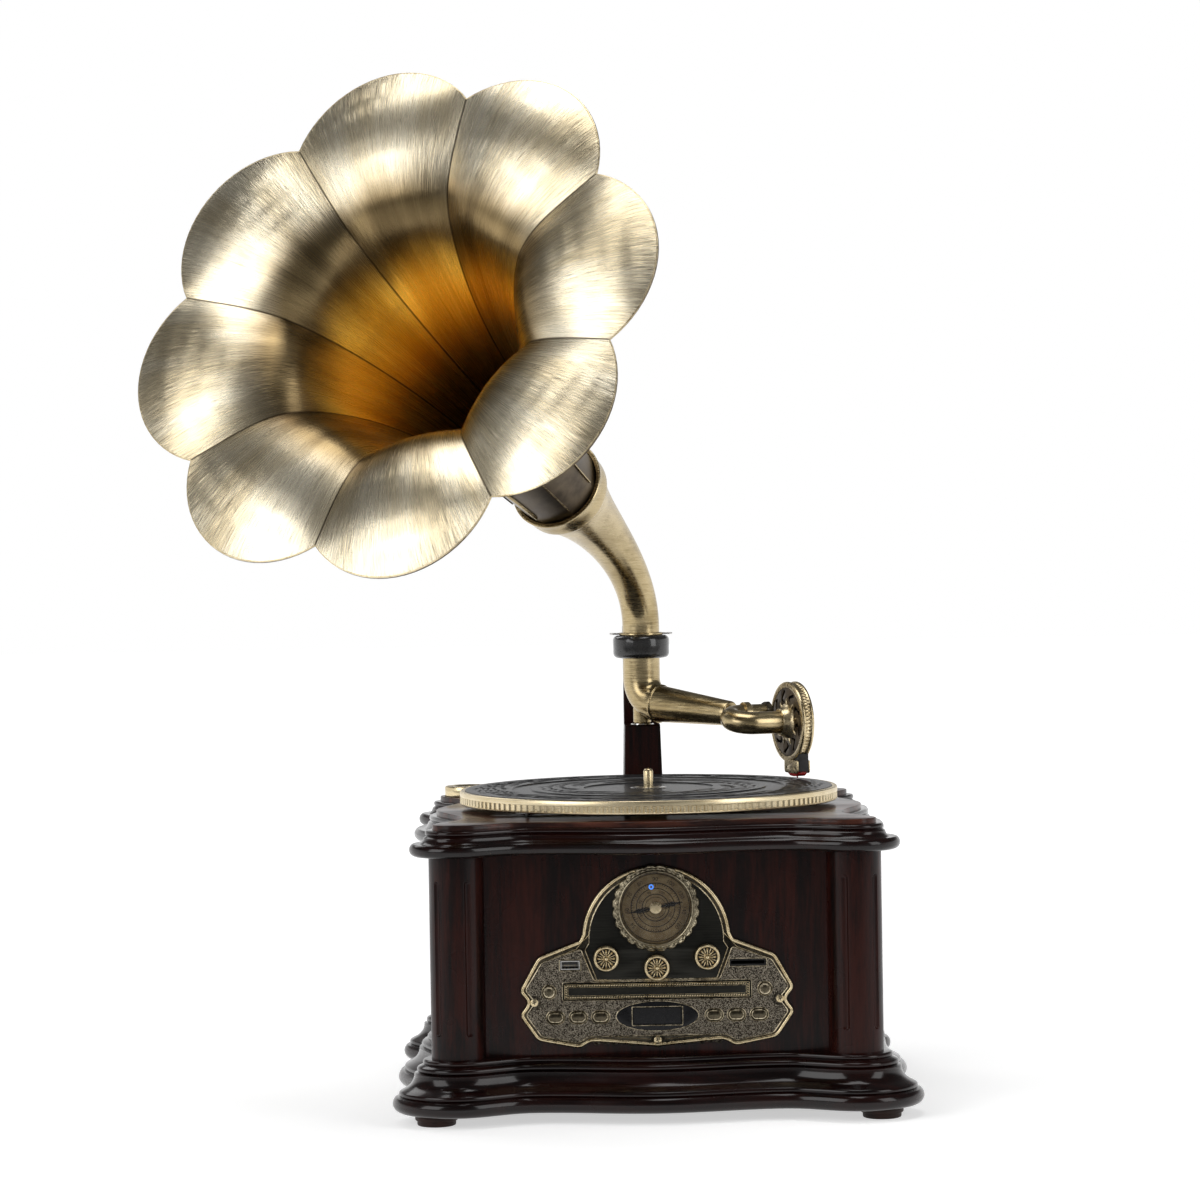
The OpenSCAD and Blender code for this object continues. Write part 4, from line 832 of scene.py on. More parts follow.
def build_grilles():
    shape = Shape()
    for x in (-1, 1):
        shape.place = shift(x * WALL_OUT, 0, GRILLE_UP) @ turn("Y", x * 90)
        slots = []
        for i in range(-4, 5):
            long = 2 * math.sqrt(41 ** 2 - (abs(i) * 8 + 2) ** 2)
            slots.append(box(i * 8, 0, 4, long, 1.9))
        shape.sheet([circle(0, 0, GRILLE_R, 96)] + slots, 0, 2.0, 0.5)
        shape.lathe([(43.2, 1.6), (46.8, 1.6), (46.9, 2.1), (46.2, 2.5), (45, 2.2), (43.8, 2.5),
                     (43.2, 2.1)], 96)
    shape.build("grilles_look", "cabinet", "old_gold", instead=["speaker_grilles"])


def build_rear_rings():
    """The metal and coloured rings of the sockets on the back."""
    shape = Shape()
    looks = ["gold", "red", "white_plastic"]
    for x, colour in ((-62, 1), (-48, 2)):
        for z in (16, 32):
            shape.place = shift(x, WALL_OUT, 61 + z) @ turn("X", -90)
            shape.slot = colour
            shape.lathe([(4.3, 1.9), (6, 1.9), (6, 2.6), (5.6, 3), (4.3, 3)], 40)
            shape.slot = 0
            shape.lathe([(4.25, 2.6), (4.6, 2.6), (4.6, 9.4), (4.2, 10.1), (1.9, 10.1), (1.7, 9.6),
                         (4.1, 9.4)], 40)
    shape.build("rear_rings", "cabinet", looks)


def build_screws():
    """The screws of the control plate, each with a cross painted black as the shade in its slots, and those
    of the pillar.
    """
    shape = Shape()
    head = [(0, 0), (2.7, 0), (3, 0.4), (2.7, 1.1), (1.6, 1.6), (0, 1.7)]
    for x, up in SCREWS:
        shape.place = shift(x, FACE_Y, Z_FOOT + up) @ turn("X", 90)
        shape.lathe([(0, -11.5), (1.4, -11.5), (1.5, 0)] + head[1:], 40, loop=False)
        # The crosses: thin black bars on the heads, painted shade in place of the recessed slots
        shape.slot = 1
        for angle in (20, 110):
            shape.place = shift(x, FACE_Y, Z_FOOT + up) @ turn("X", 90) @ turn("Z", angle)
            shape.sheet([box(0, 0, 3.0, 0.55, 0.1)], 1.4, 1.74, 0.05)
        shape.slot = 0
    for x in (-9, 9):
        for z in (121, 166):
            shape.place = shift(x, WALL_IN, z) @ turn("X", 90)
            shape.lathe([(0, -30), (1.8, -29), (1.9, 0), (3.6, 0), (3.5, 1), (2, 1.9), (0, 2)], 32,
                        loop=False)
    shape.build("screws_look", "cabinet", ["gold", "ink"], instead=["screws"])


# The control plate

WING = [(48, 5), (56, 0), (87, 6), (100, 25), (93, 34), (100, 42), (86, 67), (54, 79)]
PANEL = [(50, 8.6), (57, 4.2), (84, 9.2), (95, 25), (88.2, 34), (95.4, 43), (83, 63), (54.6, 72.4),
         (45.5, 49.4)]
FIELD = [(43.4, 49.6), (51.6, 71.4)]
KNOBS = {"mode": (-36.5, 65.6), "tuning": (0, 58.4), "volume": (36.5, 65.6)}
SCREWS = ((-88.8, 34), (88.8, 34), (0, 5.4))
UP_KEYS = 22.9
UP_TRAY = 41.5
UP_PORTS = 60.6
UP_DIAL = 101
ROUND_KEY_X = 78
USB_X = -62.5
CARD_X = 65.9
TRAY_W = 134.8
TRAY_H = 11.6


def mirrored(path):
    return [(-x, y) for x, y in reversed(path)]


def plate_outline():
    """The plate's outline: two softened wings under a round dome, from the middle of the foot."""
    path = [(0, 0.5)] + WING
    side = path[:1]
    for triple in zip(path, path[1:], path[2:]):
        side += softened(*triple, 4.0, 0.4)
    side.append(WING[-1])
    return side + arc(0, 78, 54, 1, 179, 48) + mirrored(side)[:-1]


def tray_window(grow):
    return box(0, UP_TRAY, TRAY_W + grow, TRAY_H + grow, 0.8)


def oval(x, y, w, h):
    return arc(x + (w - h) / 2, y, h / 2, -90, 90, 12) + arc(x - (w - h) / 2, y, h / 2, 90, 270, 12)


def ellipse(x, y, w, h):
    return [(x + w * math.cos(a), y + h * math.sin(a)) for a in around(64)]


def panel_holes(grow):
    """The openings of the plate's lower part, each grown by a little."""
    holes = [tray_window(0.5 + grow), box(USB_X, UP_PORTS, 14.3 + grow, 6.7 + grow, 0.5),
             box(CARD_X, UP_PORTS, 25.9 + grow, 4.5 + grow, 0.5)]
    for x in (-1, 1):
        holes += [oval(x * k, UP_KEYS, 12.1 + grow, 8.1 + grow) for k in KEY_X]
        holes.append(circle(x * ROUND_KEY_X, UP_TRAY, 4.55 + grow / 2))
    return holes


def build_plate(settings):
    outline = plate_outline()
    frame_at = on_plate(0, 0)
    dial = circle(0, UP_DIAL, 29.2, 72)
    knobs = [circle(x, up, 3.7, 24) for x, up in KNOBS.values()]
    screws = [circle(x, up, 1.6, 20) for x, up in SCREWS]
    screen = box(0, UP_KEYS, 35.7, 12.7)

    shape = Shape()
    shape.sheet([outline, dial, screen] + knobs + screws + panel_holes(0), -FACE_T, 0, 0.9)
    shape.build("plate_body", "cabinet", "bronze", frame_at, ["control_plate"], 30)

    shape = Shape()
    shape.ridge(inset(outline, 1.6), 2.7, -0.1, 1.4)
    shape.ridge(inset(outline, 5.0), 0.5, -0.1, 0.5)
    shape.build("plate_rim", "cabinet", "gold", frame_at)

    shape = Shape()
    shape.beads(inset(outline, 3.8), settings.bead_pitch / MM, 0.62, 0.0)
    shape.build("plate_rope", "cabinet", "bronze", frame_at)

    panel = rounded(mirrored(PANEL) + PANEL, 2.2)
    holes = panel_holes(0.4)
    lcd = ellipse(0, UP_KEYS, 29.7, 10.6)
    shape = Shape()
    shape.sheet([panel, lcd] + holes, -0.1, 0.7, 0.25)
    shape.build("plate_panel", "cabinet", "pebbled", frame_at, sharp=30)

    shape = Shape()
    shape.ridge(inset(panel, 0.2), 0.9, 0.5, 0.65)
    for hole in holes:
        hole = hole if area(hole) > 0 else hole[::-1]
        shape.ridge(inset(hole, -0.45), 0.7, 0.5, 0.5)
    shape.ridge(inset(lcd, -0.2), 0.8, 0.5, 0.5)
    shape.build("plate_lines", "cabinet", "old_gold", frame_at)

    field = mirrored(FIELD)[-1:] + FIELD + arc(0, 78, 48.6, -2, 182, 48) + mirrored(FIELD)[:1]
    shape = Shape()
    shape.sheet([field, dial] + [circle(x, up, 4.2, 24) for x, up in KNOBS.values()], -0.1, 0.35, 0.12)
    shape.build("plate_field", "cabinet", "black_field", frame_at, sharp=30)

    shape = Shape()
    shape.ridge(field, 0.8, 0.1, 0.7)
    shape.build("plate_field_line", "cabinet", "old_gold", frame_at)

    shape = Shape()
    shape.sheet([lcd, screen], -0.1, 0.9, 0.4)
    shape.build("screen_oval", "cabinet", "display", frame_at, sharp=30)

    shape = Shape()
    shape.ridge(box(0, UP_KEYS, 36.6, 13.6, 0.8), 0.7, 0.8, 0.4)
    shape.build("screen_line", "cabinet", "old_gold", frame_at)

    shape = Shape()
    shape.sheet([box(0, UP_KEYS, 35.4, 12.4, 0.4)], -4.4, -0.3, 0.3)
    shape.sheet([box(0, UP_KEYS, 40, 17, 0.4)], -14.4, -3.6, 0.3)
    shape.build("screen_look", "cabinet", "display", frame_at, ["display_window"], 30)

    build_leaves(frame_at)
    build_dial()
    build_ports()


def build_leaves(frame_at):
    """The leafy strip along the foot of the plate, and the rings round its screws."""
    shape = Shape()
    for side in (-1, 1):
        for k in range(7):
            x = 6.5 + 6.2 * k
            lift = 3.4 + 0.18 * k
            curl = []
            for i in range(19):
                t = i / 18
                a = math.pi * (0.2 + 2.6 * t) * (1 if k % 2 else -1)
                r = 2.5 * (1 - 0.75 * t)
                curl.append((side * (x + r * math.cos(a) + 2.2 * t), lift + r * math.sin(a) * 0.75, 0.35))
            shape.sweep(curl, [0.5 - 0.3 * i / 18 for i in range(19)], 8)
            leaf = ((x - 2.4, lift - 1.1, 0.1), (x, lift + 0.2, 0.5), (x + 2.4, lift + 1.2, 0.1))
            shape.sweep([(side * lx, ly, lz) for lx, ly, lz in leaf], [0.2, 0.65, 0.15], 8)
    for x, y in SCREWS:
        shape.place = shift(x, y, 0)
        shape.lathe([(3.4, -0.1), (5.2, -0.1), (5.2, 0.5), (4.7, 1.0), (4.2, 0.6), (3.8, 1.0),
                     (3.4, 0.5)], 40)
    shape.build("plate_leaves", "cabinet", "bronze", frame_at)


def build_dial():
    """The tuning dial: card, figures, light, bezel, glass and pointer."""
    place = on_plate(0, UP_DIAL)
    shape = Shape()
    shape.lathe([(1.8, -3.5), (27.8, -3.5), (27.8, -2.9), (1.8, -2.9)], 96)
    shape.slot = 1
    for r, w in ((24.2, 0.5), (17.4, 0.7), (13.6, 0.6), (9.4, 0.7), (7.4, 0.4)):
        shape.lathe([(r, -2.95), (r + w, -2.95), (r + w, -2.82), (r, -2.82)], 96)
    for k, a in enumerate(around(60)):
        near = 15.0 if k % 5 == 0 else 16.2
        shape.sweep([(*polar(r, a), -2.88) for r in (near, 17.6)], 0.22, 4)
    for figures, size, r, first, pitch in (("54 60 70 80 90 100 120 140 160", 4.2, 20.6, 218, 32),
                                           ("88 92 96 100 104 108", 2.9, 11.6, 205, 46)):
        for k, figure in enumerate(figures.split()):
            a = math.radians(first - k * pitch)
            shape.words(figure, size, *polar(r, a), -2.85, math.degrees(a) - 90)
    shape.build("dial_card_look", "cabinet", ["card", "ink"], place, ["dial_card"])

    shape = Shape()
    shape.lathe([(1.35, -2.9), (1.9, -2.9), (1.9, -2.6), (1.35, -2.6)], 32)
    shape.place = shift(-3, 15, 0)
    shape.lathe([(0.9, -2.95), (1.9, -2.95), (1.9, -2.7), (0.9, -2.7)], 32)
    shape.build("dial_light", "cabinet", "blue_light", place)

    def lace(r, z, a):
        if r < 27.6:
            return r, z
        lobe = abs(math.sin(12 * a))
        share = (r - 27.6) / 4.1
        leaf = 0.5 + 0.5 * math.cos(48 * a + 5 * share)
        sunk = (0.9 * (1 - lobe) * share + 0.5 * leaf * (1 - share)) * (z > 0.5)
        return r - 1.3 * share * (1 - lobe) ** 1.5, z - sunk

    shape = Shape()
    shape.lathe([(27.9, -3.5), (29.1, -3.5), (29.1, 0), (31.6, 0), (31.7, 1.2), (31.3, 2.1), (30.4, 2.6),
                 (29.6, 2.2), (28.8, 2.7), (28.2, 2.3), (27.6, 2.4), (27.2, 3.1), (26.6, 3.4), (26.0, 3.1),
                 (25.6, 2.2), (25.4, 1.4), (25.4, 0), (27.9, 0)], 384, change=lace)
    shape.build("dial_bezel_look", "cabinet", "bezel", place, ["dial_bezel"], 50)

    shape = Shape()
    shape.lathe([(0, -1.5), (27.6, -1.5), (27.8, -1.3), (27.0, -0.9), (20, -0.45), (10, -0.2), (0, -0.1)],
                96, loop=False)
    shape.build("dial_lens_look", "cabinet", "clear_glass", place, ["dial_lens"])

    build_pointer(place @ turn("Z", 10.8))


def build_pointer(place):
    """The pointer with its axle, which turns with the tuning knob."""
    shape = Shape()
    shape.slot = 1
    shape.lathe([(0, -15), (1.5, -15), (1.5, -2.5), (0, -2.5)], 24, loop=False)
    shape.lathe([(0, -2.6), (4.2, -2.6), (4.5, -2.4), (4.3, -2.05), (3.6, -1.85), (2.4, -1.75), (0, -1.65)],
                40, loop=False)
    shape.slot = 0
    for side in (-1, 1):
        edge = [(3.6, -0.5), (10, -0.9), (12.5, -1.9), (15, -0.7), (20, -0.2)]
        blade = [(side * x, y) for x, y in edge + [(x, -y) for x, y in reversed(edge)]]
        shape.sheet([blade if side > 0 else blade[::-1]], -2.5, -1.95, 0.1)
        for x in (6.6, 9.2):
            ring = circle(side * x, 0, 1.6, 20)
            shape.sweep([(px, py, -2.2) for px, py in ring], 0.28, 8, loop=True)
    shape.build("dial_pointer_look", "pointer", ["ink", "gold"], place, ["dial_pointer"])


def socket_rows(w, h, r, deep, sides, ends):
    """Rings of a socket's shell, from its back round the lip and down its mouth, 1.5 short of the back."""
    rings = ((0, 0, -deep), (0, 0, 0.2), (0.2, 0.2, 0.3), (sides, ends, 0.3),
             (sides + 0.2, ends + 0.2, 0.1), (sides + 0.2, ends + 0.2, 1.5 - deep))
    return [[(x, y, z) for x, y in box(0, 0, w - a, h - b, r)] for a, b, z in rings]


def build_ports():
    """The two sockets in the wings, open to the front, and their contacts."""
    shape = Shape(shift(USB_X, UP_PORTS, 0))
    shape.skin(socket_rows(14, 6.4, 0.4, 17.5, 1.4, 1.4))
    shape.slot = 1
    shape.sheet([box(0, 1.0, 11.4, 1.8, 0.2)], -16, -1.2, 0.15)
    shape.slot = 2
    for x in (-3.6, -1.2, 1.2, 3.6):
        shape.sheet([box(x, 0.0, 1.1, 0.4, 0.1)], -14, -1.8, 0.05)
    shape.build("usb_look", "cabinet", ["steel", "black_plastic", "gold"], on_plate(0, 0), ["usb_socket"],
                30)

    shape = Shape(shift(CARD_X, UP_PORTS, 0))
    shape.skin(socket_rows(25.6, 4.2, 0.3, 27.5, 1.0, 1.2))
    shape.build("card_slot_look", "cabinet", "black_plastic", on_plate(0, 0), ["card_socket"],
                30)


def build_controls(settings):
    """The three knobs, the eight buttons and the disc tray."""
    build_knobs(settings.knob_petals)
    build_keys()
    build_tray(settings)


def build_knobs(petals):
    """The three knobs, fluted round the side, with a flower on each face."""

    def fluted(r, z, a):
        if r > 8.6 and 2.0 < z < 7.6:
            return r - 0.55 * (0.5 + 0.5 * math.cos(18 * a)) ** 3, z
        return r, z

    def flower(r, z, a):
        if 1.5 < r < 6.9:
            leaf = max(0.0, math.cos(petals * a)) ** 0.7
            return r, z + 1.9 * leaf * math.sin(math.pi * (r - 1.5) / 5.4)
        return r, z

    for name, (x, up) in KNOBS.items():
        shape = Shape()
        shape.lathe([(6.9, 1.2), (8.7, 1.2), (9.1, 1.6), (9.25, 2.2), (9.25, 3.2), (9.25, 6.6), (9.2, 7.6),
                     (8.9, 8.3), (8.4, 8.75), (7.8, 8.8), (7.3, 8.4), (7.0, 7.6)], 144, change=fluted)
        shape.lathe([(0, -12.7), (3, -12.7), (3, 1.4), (0, 1.4)], 32, loop=False)
        shape.slot = 1
        shape.lathe([(0, 1.2), (6.95, 1.2), (6.95, 7.4), (6.0, 7.3), (0, 7.3)], 64, loop=False)
        shape.slot = 0
        shape.lathe([(6.9, 6.6), (6.8, 6.7), (6.2, 6.75), (5.4, 6.8), (4.5, 6.85), (3.6, 6.95), (2.8, 7.1),
                     (2.2, 7.5), (1.5, 8.4), (0, 8.6)], 180, loop=False, change=flower)
        shape.lathe([(0, 8.4), (1.9, 8.6), (2.0, 9.6), (1.5, 10.6), (0.8, 11.3), (0, 11.6)], 32, loop=False)
        for k in range(petals):
            a = 2 * math.pi * (k + 0.5) / petals
            shape.sweep([(*polar(r, a), 7.9) for r in (3.0, 5.0, 6.9)], [0.2, 0.42, 0.3], 8)
        shape.build(f"{name}_knob_look", f"{name}_control", ["gold", "ink"], on_plate(x, up),
                    [f"{name}_knob"], 45)


def build_keys():
    """The six oval buttons and the two round ones."""
    ring = oval(0, 0, 11.6, 7.6)

    def stepped(steps):
        return [[(px, py, z) for px, py in inset(ring, d)] for d, z in steps]

    for n, x in enumerate([-x for x in reversed(KEY_X)] + list(KEY_X)):
        shape = Shape()
        shape.skin(stepped(((0, -3.7), (0, 1.3), (0.15, 1.8), (0.5, 2.15), (0.9, 2.2),
                            (1.25, 1.9), (1.35, 1.5))))
        shape.skin(stepped(((-1, -4.7), (-1, -3.7))))
        shape.lathe(KEY_STEM, 24, loop=False)
        shape.slot = 1
        shape.skin(stepped(((1.3, 1.2), (1.3, 1.5), (1.9, 1.75), (2.6, 1.95), (3.3, 2.05))))
        name = f"key_{n + 1}"
        shape.build(name + "_look", name, ["old_gold", "button"], on_plate(x, UP_KEYS), [name], 45)

    for name, x in (("round_key_left", -ROUND_KEY_X), ("round_key_right", ROUND_KEY_X)):
        shape = Shape()
        shape.lathe([(0, -3.7), (4.3, -3.7), (4.3, 1.5), (4.1, 2.0), (3.6, 2.2), (3.0, 2.1), (2.7, 1.6),
                     (0, 1.6)], 48, loop=False)
        shape.lathe([(0, -4.7), (5.3, -4.7), (5.3, -3.7), (0, -3.7)], 40, loop=False)
        shape.lathe(KEY_STEM, 24, loop=False)
        shape.slot = 1
        shape.lathe([(0, 1.5), (2.65, 1.5), (2.4, 1.8), (1.4, 2.05), (0, 2.1)], 40, loop=False)
        shape.build(name + "_look", name, ["old_gold", "button"], on_plate(x, UP_TRAY), [name], 45)


def build_tray(settings):
    place = on_plate(0, UP_TRAY)
    shape = Shape()
    shape.sheet([box(0, 0, TRAY_W, TRAY_H, 0.8)], -3.0, 1.5, 0.5)
    shape.build("tray_front", "tray", "black_field", place, sharp=30)

    shape = Shape()
    shape.beads(box(0, 0, 131.4, 8.4, 0.6), settings.bead_pitch / MM * 1.1, 0.5, 1.45, stretch=1.5)
    shape.ridge(box(0, 0, 133.6, 10.4, 0.6), 0.35, 1.4, 0.3)
    shape.ridge(box(0, 0, 128.9, 6.0, 0.4), 0.35, 1.4, 0.3)
    shape.build("tray_rope", "tray", "gold", place)

    # The panel behind the front: a base and a raised rim round the disc's well
    shape = Shape()
    wide, back, low, well = 63.8, 23.5, 87.3, 60.3
    middle = -WALL_OUT + 5.5 + well
    hole = box(0, middle + 17, 28, 50, 2)
    outer = [(-wide, -WALL_OUT - 1), (wide, -WALL_OUT - 1), (wide, back), (-wide, back)]
    shape.sheet([outer, hole], low, low + 2.6, 0.2)
    shape.sheet([outer, circle(0, middle, well, 128)], low + 2.6, low + 4.2, 0.3)
    shape.build("tray_panel", "tray", "black_plastic", instead=["disc_tray"], sharp=30)


# The turntable


def build_turntable(settings):
    build_platter(settings.rim_teeth)
    build_mat(settings.mat_ribs)
    build_spindle()
    build_adapter()


def build_platter(teeth):
    """The platter, its rim notched."""

    def toothed(r, z, a):
        if r > 141.9 and 220.6 < z < 225.2:
            return r - 1.1 * smooth_step(0.5 + 1.2 * math.cos(teeth * a)), z
        return r, z

    top = Z_RIM + 10
    edge = PLATTER_R
    shape = Shape()
    shape.lathe([(PLATTER_BORE, Z_PLATE), (86, Z_PLATE), (86, Z_RIM - 1.9), (92, Z_RIM - 1.9), (92, Z_PLATE),
                 (133.5, Z_PLATE), (134.5, Z_RIM), (edge - 0.8, Z_RIM), (edge - 0.1, Z_RIM + 0.6),
                 (edge, 220.5), (edge - 0.2, 220.7), (edge - 0.2, 225.1), (edge, 225.3), (edge, top - 1.4),
                 (edge - 0.3, top - 0.5), (edge - 1, top), (139.2, top), (138.6, top - 0.4),
                 (138.5, Z_PLATE + 3), (PLATTER_BORE, Z_PLATE + 3)], teeth * 6, change=toothed)
    shape.build("platter_look", "turntable", "champagne", instead=["platter"], sharp=35)


def build_mat(ribs):
    """The rubber mat: two bands of slanted hollows between flat rings."""
    near, near_wide = 52, 34
    far, far_wide = 104.5, 30
    radii = [PLATTER_BORE, BOSS_R + 0.3, 14, 30, 44, 48.6, 49, 50.5, near]
    radii += [near + near_wide * k / 16 for k in range(1, 17)]
    radii += [87.5, 88.6, 89.2, 90.5, 96, 101.5, 102.8, 103.4, far]
    radii += [far + far_wide * k / 16 for k in range(1, 17)] + [136, 137.4, 138.1, MAT_R]
    steps = 540
    rows = []
    for r in radii:
        height = Z_MAT
        if r < 48.8 or 89 < r < 103:
            height = Z_MAT - 0.8
        if r > 138.2:
            height = Z_MAT - 0.35
        inner = near < r < near + near_wide + 0.5
        outer = far < r < far + far_wide + 0.1
        row = []
        for a in around(steps):
            z = height
            if inner or outer:
                share = (r - near) / near_wide if inner else (r - far) / far_wide
                bend = 2.4 * share * share + (0.0 if inner else 1.0)
                hollow = smooth_step((math.cos((a + bend) * (ribs if inner else 2 * ribs)) - 0.1) * 2.5)
                z -= 0.75 * hollow * smooth_step(6 * share) * smooth_step(6 * (1 - share))
            row.append((*polar(r, a), z))
        rows.append(row)
    for r in (MAT_R, PLATTER_BORE):
        rows.append([(*polar(r, a), Z_MAT - 3) for a in around(steps)])
    shape = Shape()
    shape.skin(rows, loop=True)
    shape.build("mat_look", "turntable", "rubber", instead=["platter_mat"], sharp=32)


def build_spindle():
    """The spindle, and the small plate with three rivets round it."""
    shape = Shape()
    tip = Z_MAT + 14
    shape.lathe([(0, 184.2), (4, 184.2), (4, Z_UNDER), (4, Z_PLATE - 4), (12, Z_PLATE - 4), (12, Z_PLATE),
                 (BOSS_R, Z_PLATE), (BOSS_R, Z_MAT - 0.7), (BOSS_R - 0.1, Z_MAT - 0.6),
                 (SPINDLE_R, Z_MAT - 0.6), (SPINDLE_R, tip - 2.6), (3.3, tip - 1.5), (2.6, tip - 0.7),
                 (1.6, tip - 0.2), (0, tip)], 48, loop=False)
    shape.build("spindle_look", "turntable", "pale_gold", instead=["spindle"])

    shape = Shape()
    low = Z_MAT - 0.85
    shape.lathe([(4.5, low), (13.4, low), (13.6, 229.0), (13.2, 229.2), (4.9, 229.2), (4.5, 229.0)], 64)
    for k in range(3):
        a = math.radians(30 + 120 * k)
        shape.place = shift(*polar(9.4, a), 0)
        shape.lathe([(0, 229.1), (1.9, 229.1), (1.9, 229.4), (1.4, 229.56), (0, 229.58)], 24, loop=False)
    shape.build("hub_plate", "turntable", "steel")


def build_adapter():
    """The adapter for records with a large hole, in its place on the deck."""
    shape = Shape()
    base = Z_DECK - 1.5
    face = base + 8.4
    shape.lathe([(ADAPTER_BORE, base), (18.8, base), (ADAPTER_R, base + 0.3), (ADAPTER_R, face + 0.1),
                 (18.7, face + 0.9), (18, face + 1.2), (12.6, face + 1.2), (12, face + 1),
                 (10.4, face + 0.2), (9.8, face), (5.2, face), (4.8, face + 0.4), (4.1, face + 0.4),
                 (ADAPTER_BORE, face)], 96)
    shape.slot = 1
    for k in range(12):
        a = math.radians(30 * k)
        shape.place = shift(*polar(15.2, a), face + 1.1)
        shape.lathe([(0, 0), (1.1, 0), (1.0, 0.12), (0, 0.13)], 20, loop=False)
    shape.build("adapter_look", "adapter", ["pale_gold", "ink"], at(-ADAPTER_PLACE, ADAPTER_PLACE, 0),
                ["record_adapter"])


# The arm and the head


def build_arm(settings):
    steps = settings.tube_steps
    tilt = math.radians(ARM_TILT)
    path = [(0, 0, 330.0), (0, 0, 322.0), (0, 0, 313.0), (0, 0, Z_BEND + 1)]
    radii = [TUBE_R] * 4
    for k in range(25):
        a = math.radians((90 - ARM_TILT) * k / 24)
        path.append((ARM_BEND * (1 - math.cos(a)), 0, Z_BEND - ARM_BEND * math.sin(a)))
        radii.append(TUBE_R)
    start = Vector(path[-1])
    along = Vector((math.cos(tilt), 0, -math.sin(tilt)))
    whole = (ARM_LEN - ARM_BEND + ARM_BEND * math.sin(tilt)) / math.cos(tilt)
    part = whole - 16
    for k in range(1, 21):
        share = k / 20
        path.append(tuple(start + along * part * share))
        radii.append(TUBE_R - (TUBE_R - 8.6) * part * share / whole)
    end_r = radii[-1]
    for d, shrink in ((0.6, 0.15), (1.2, 0.7), (1.5, 1.6)):
        path.append(tuple(start + along * (part + d)))
        radii.append(end_r - shrink)
    shape = Shape()
    shape.sweep(path, radii, steps)
    # The seam line round the elbow, and the ring where the straight tube starts
    seam = []
    for k in range(33):
        a = math.radians((90 - ARM_TILT) * k / 32)
        r = ARM_BEND + TUBE_R
        seam.append((ARM_BEND - r * math.cos(a), 0, Z_BEND - r * math.sin(a)))
    shape.sweep(seam, 0.35, 8)
    shape.place = Matrix.Translation(start) @ turn("Y", 90 + ARM_TILT)
    shape.lathe([(TUBE_R - 0.2, -1.5), (TUBE_R + 0.5, -1.3), (TUBE_R + 0.8, -0.6), (TUBE_R + 0.8, 0.6),
                 (TUBE_R + 0.4, 1.2), (TUBE_R - 0.4, 1.5)], steps)
    shape.place = Matrix()
    shape.lathe([(3.05, Z_LEDGE + 1.8), (6.4, Z_LEDGE + 1.8), (7, Z_LEDGE + 2.4), (7, Z_LEDGE + 16),
                 (3.05, Z_LEDGE + 16)], 40)
    shape.build("tonearm_look", "arm", "antique_brass", ARM, ["tonearm"], 40)

    shape = Shape(turn("Y", 90))
    shape.lathe([(NECK_R + 0.05, -2.75), (10.0, -2.75), (10.65, -2.1), (10.65, 2.1), (10.0, 2.75),
                 (NECK_R + 0.05, 2.75)], 64)
    shape.place = Matrix()
    lug = rounded([(-2.6, 10.3), (2.6, 10.3), (2.6, 15), (0.5, 19.6), (-9.6, 15), (-9.6, 13)], 1.2, 4)
    shape.sheet([lug], -6.6, 6.6, 1.4, True)
    shape.build("axle_ring", "arm", "antique_brass", AXLE)

    build_gooseneck(steps)
    build_soundbox(settings)


def build_gooseneck(steps):
    """The bent tube that carries the soundbox, and the nut on its end."""
    path = [(18 - 21.5 * k / 5, 0, 0) for k in range(5)]
    half = NECK_SPAN / 2
    for k in range(33):
        a = math.pi * k / 32
        path.append((NECK_LEFT - half * math.sin(a), half * math.cos(a) - half, 0))
    path += [(NECK_LEFT + 25.6 * k / 6, -NECK_SPAN, 0) for k in range(1, 7)]
    shape = Shape()
    shape.sweep(path, NECK_R, steps)
    shape.build("gooseneck_look", "head", "antique_brass", NECK, ["gooseneck"], 40)

    shape = Shape(turn("Y", 90))
    rows = []
    for r, z, turned in ((8.8, 15, 1), (10.0, 15, 0.6), (10.5, 15.5, 0), (10.55, 16, 0), (10.55, 19, 0),
                         (10.4, 19.5, 0.2), (9.6, 20, 0.7), (0, 20.0, 1)):
        row = []
        for a in around(48):
            flat = 1 - 0.13 * (0.5 - 0.5 * math.cos(6 * a))
            row.append((*polar(r * (turned + (1 - turned) * flat), a), z))
        rows.append(row)
    shape.skin(rows)
    shape.build("axle_nut_look", "head", "bronze", NECK, ["axle_nut"])


def build_soundbox(settings):
    ribs = settings.knurl_ribs

    def knurled(r, z, a):
        if r > 30.1 and 3.5 < z < 7.5:
            return r - 0.7 * (0.5 + 0.5 * math.cos(ribs * a)) ** 2, z
        return r, z

    shape = Shape()
    shape.lathe([(26.6, 0.8), (27.2, 0.6), (29.8, 0.6), (30.6, 0.9), (BOX_R, 1.7), (BOX_R, 2.8), (30.5, 3.4),
                 (30.4, 3.8), (30.4, 7.2), (30.5, 7.6), (BOX_R, 8.2), (BOX_R, 9.4), (30.5, 10.2),
                 (29.6, 10.4), (26.4, 10.4), (25.6, 10.0), (25.2, 9.4), (23.4, 9.4), (22.8, 9.9),
                 (22.0, 9.9), (21.4, 9.4),
                 (16, 9.2), (11, 9.4), (9, 9.4), (8.2, 10.4), (7, BOX_T), (3, BOX_T), (2.6, 10.6), (0, 10.6),
                 (0, 8), (22, 8), (26.4, 6.4)], ribs * 6, change=knurled)
    fin = [(29, -20), (37.4, -20), (39, -18), (39, 2), (37.6, 4), (29, 4)]
    holes = [circle(35, y, 1.2, 20) for y in (-16, 0)]
    for z in (0, BOX_T - 1.2):
        shape.sheet([rounded(fin, 1.6, 4)] + holes, z, z + 1.2, 0.25, True)
    shape.build("soundbox_look", "head", "gold", BOX, ["soundbox"], 40)

    build_box_back()
    build_stylus()


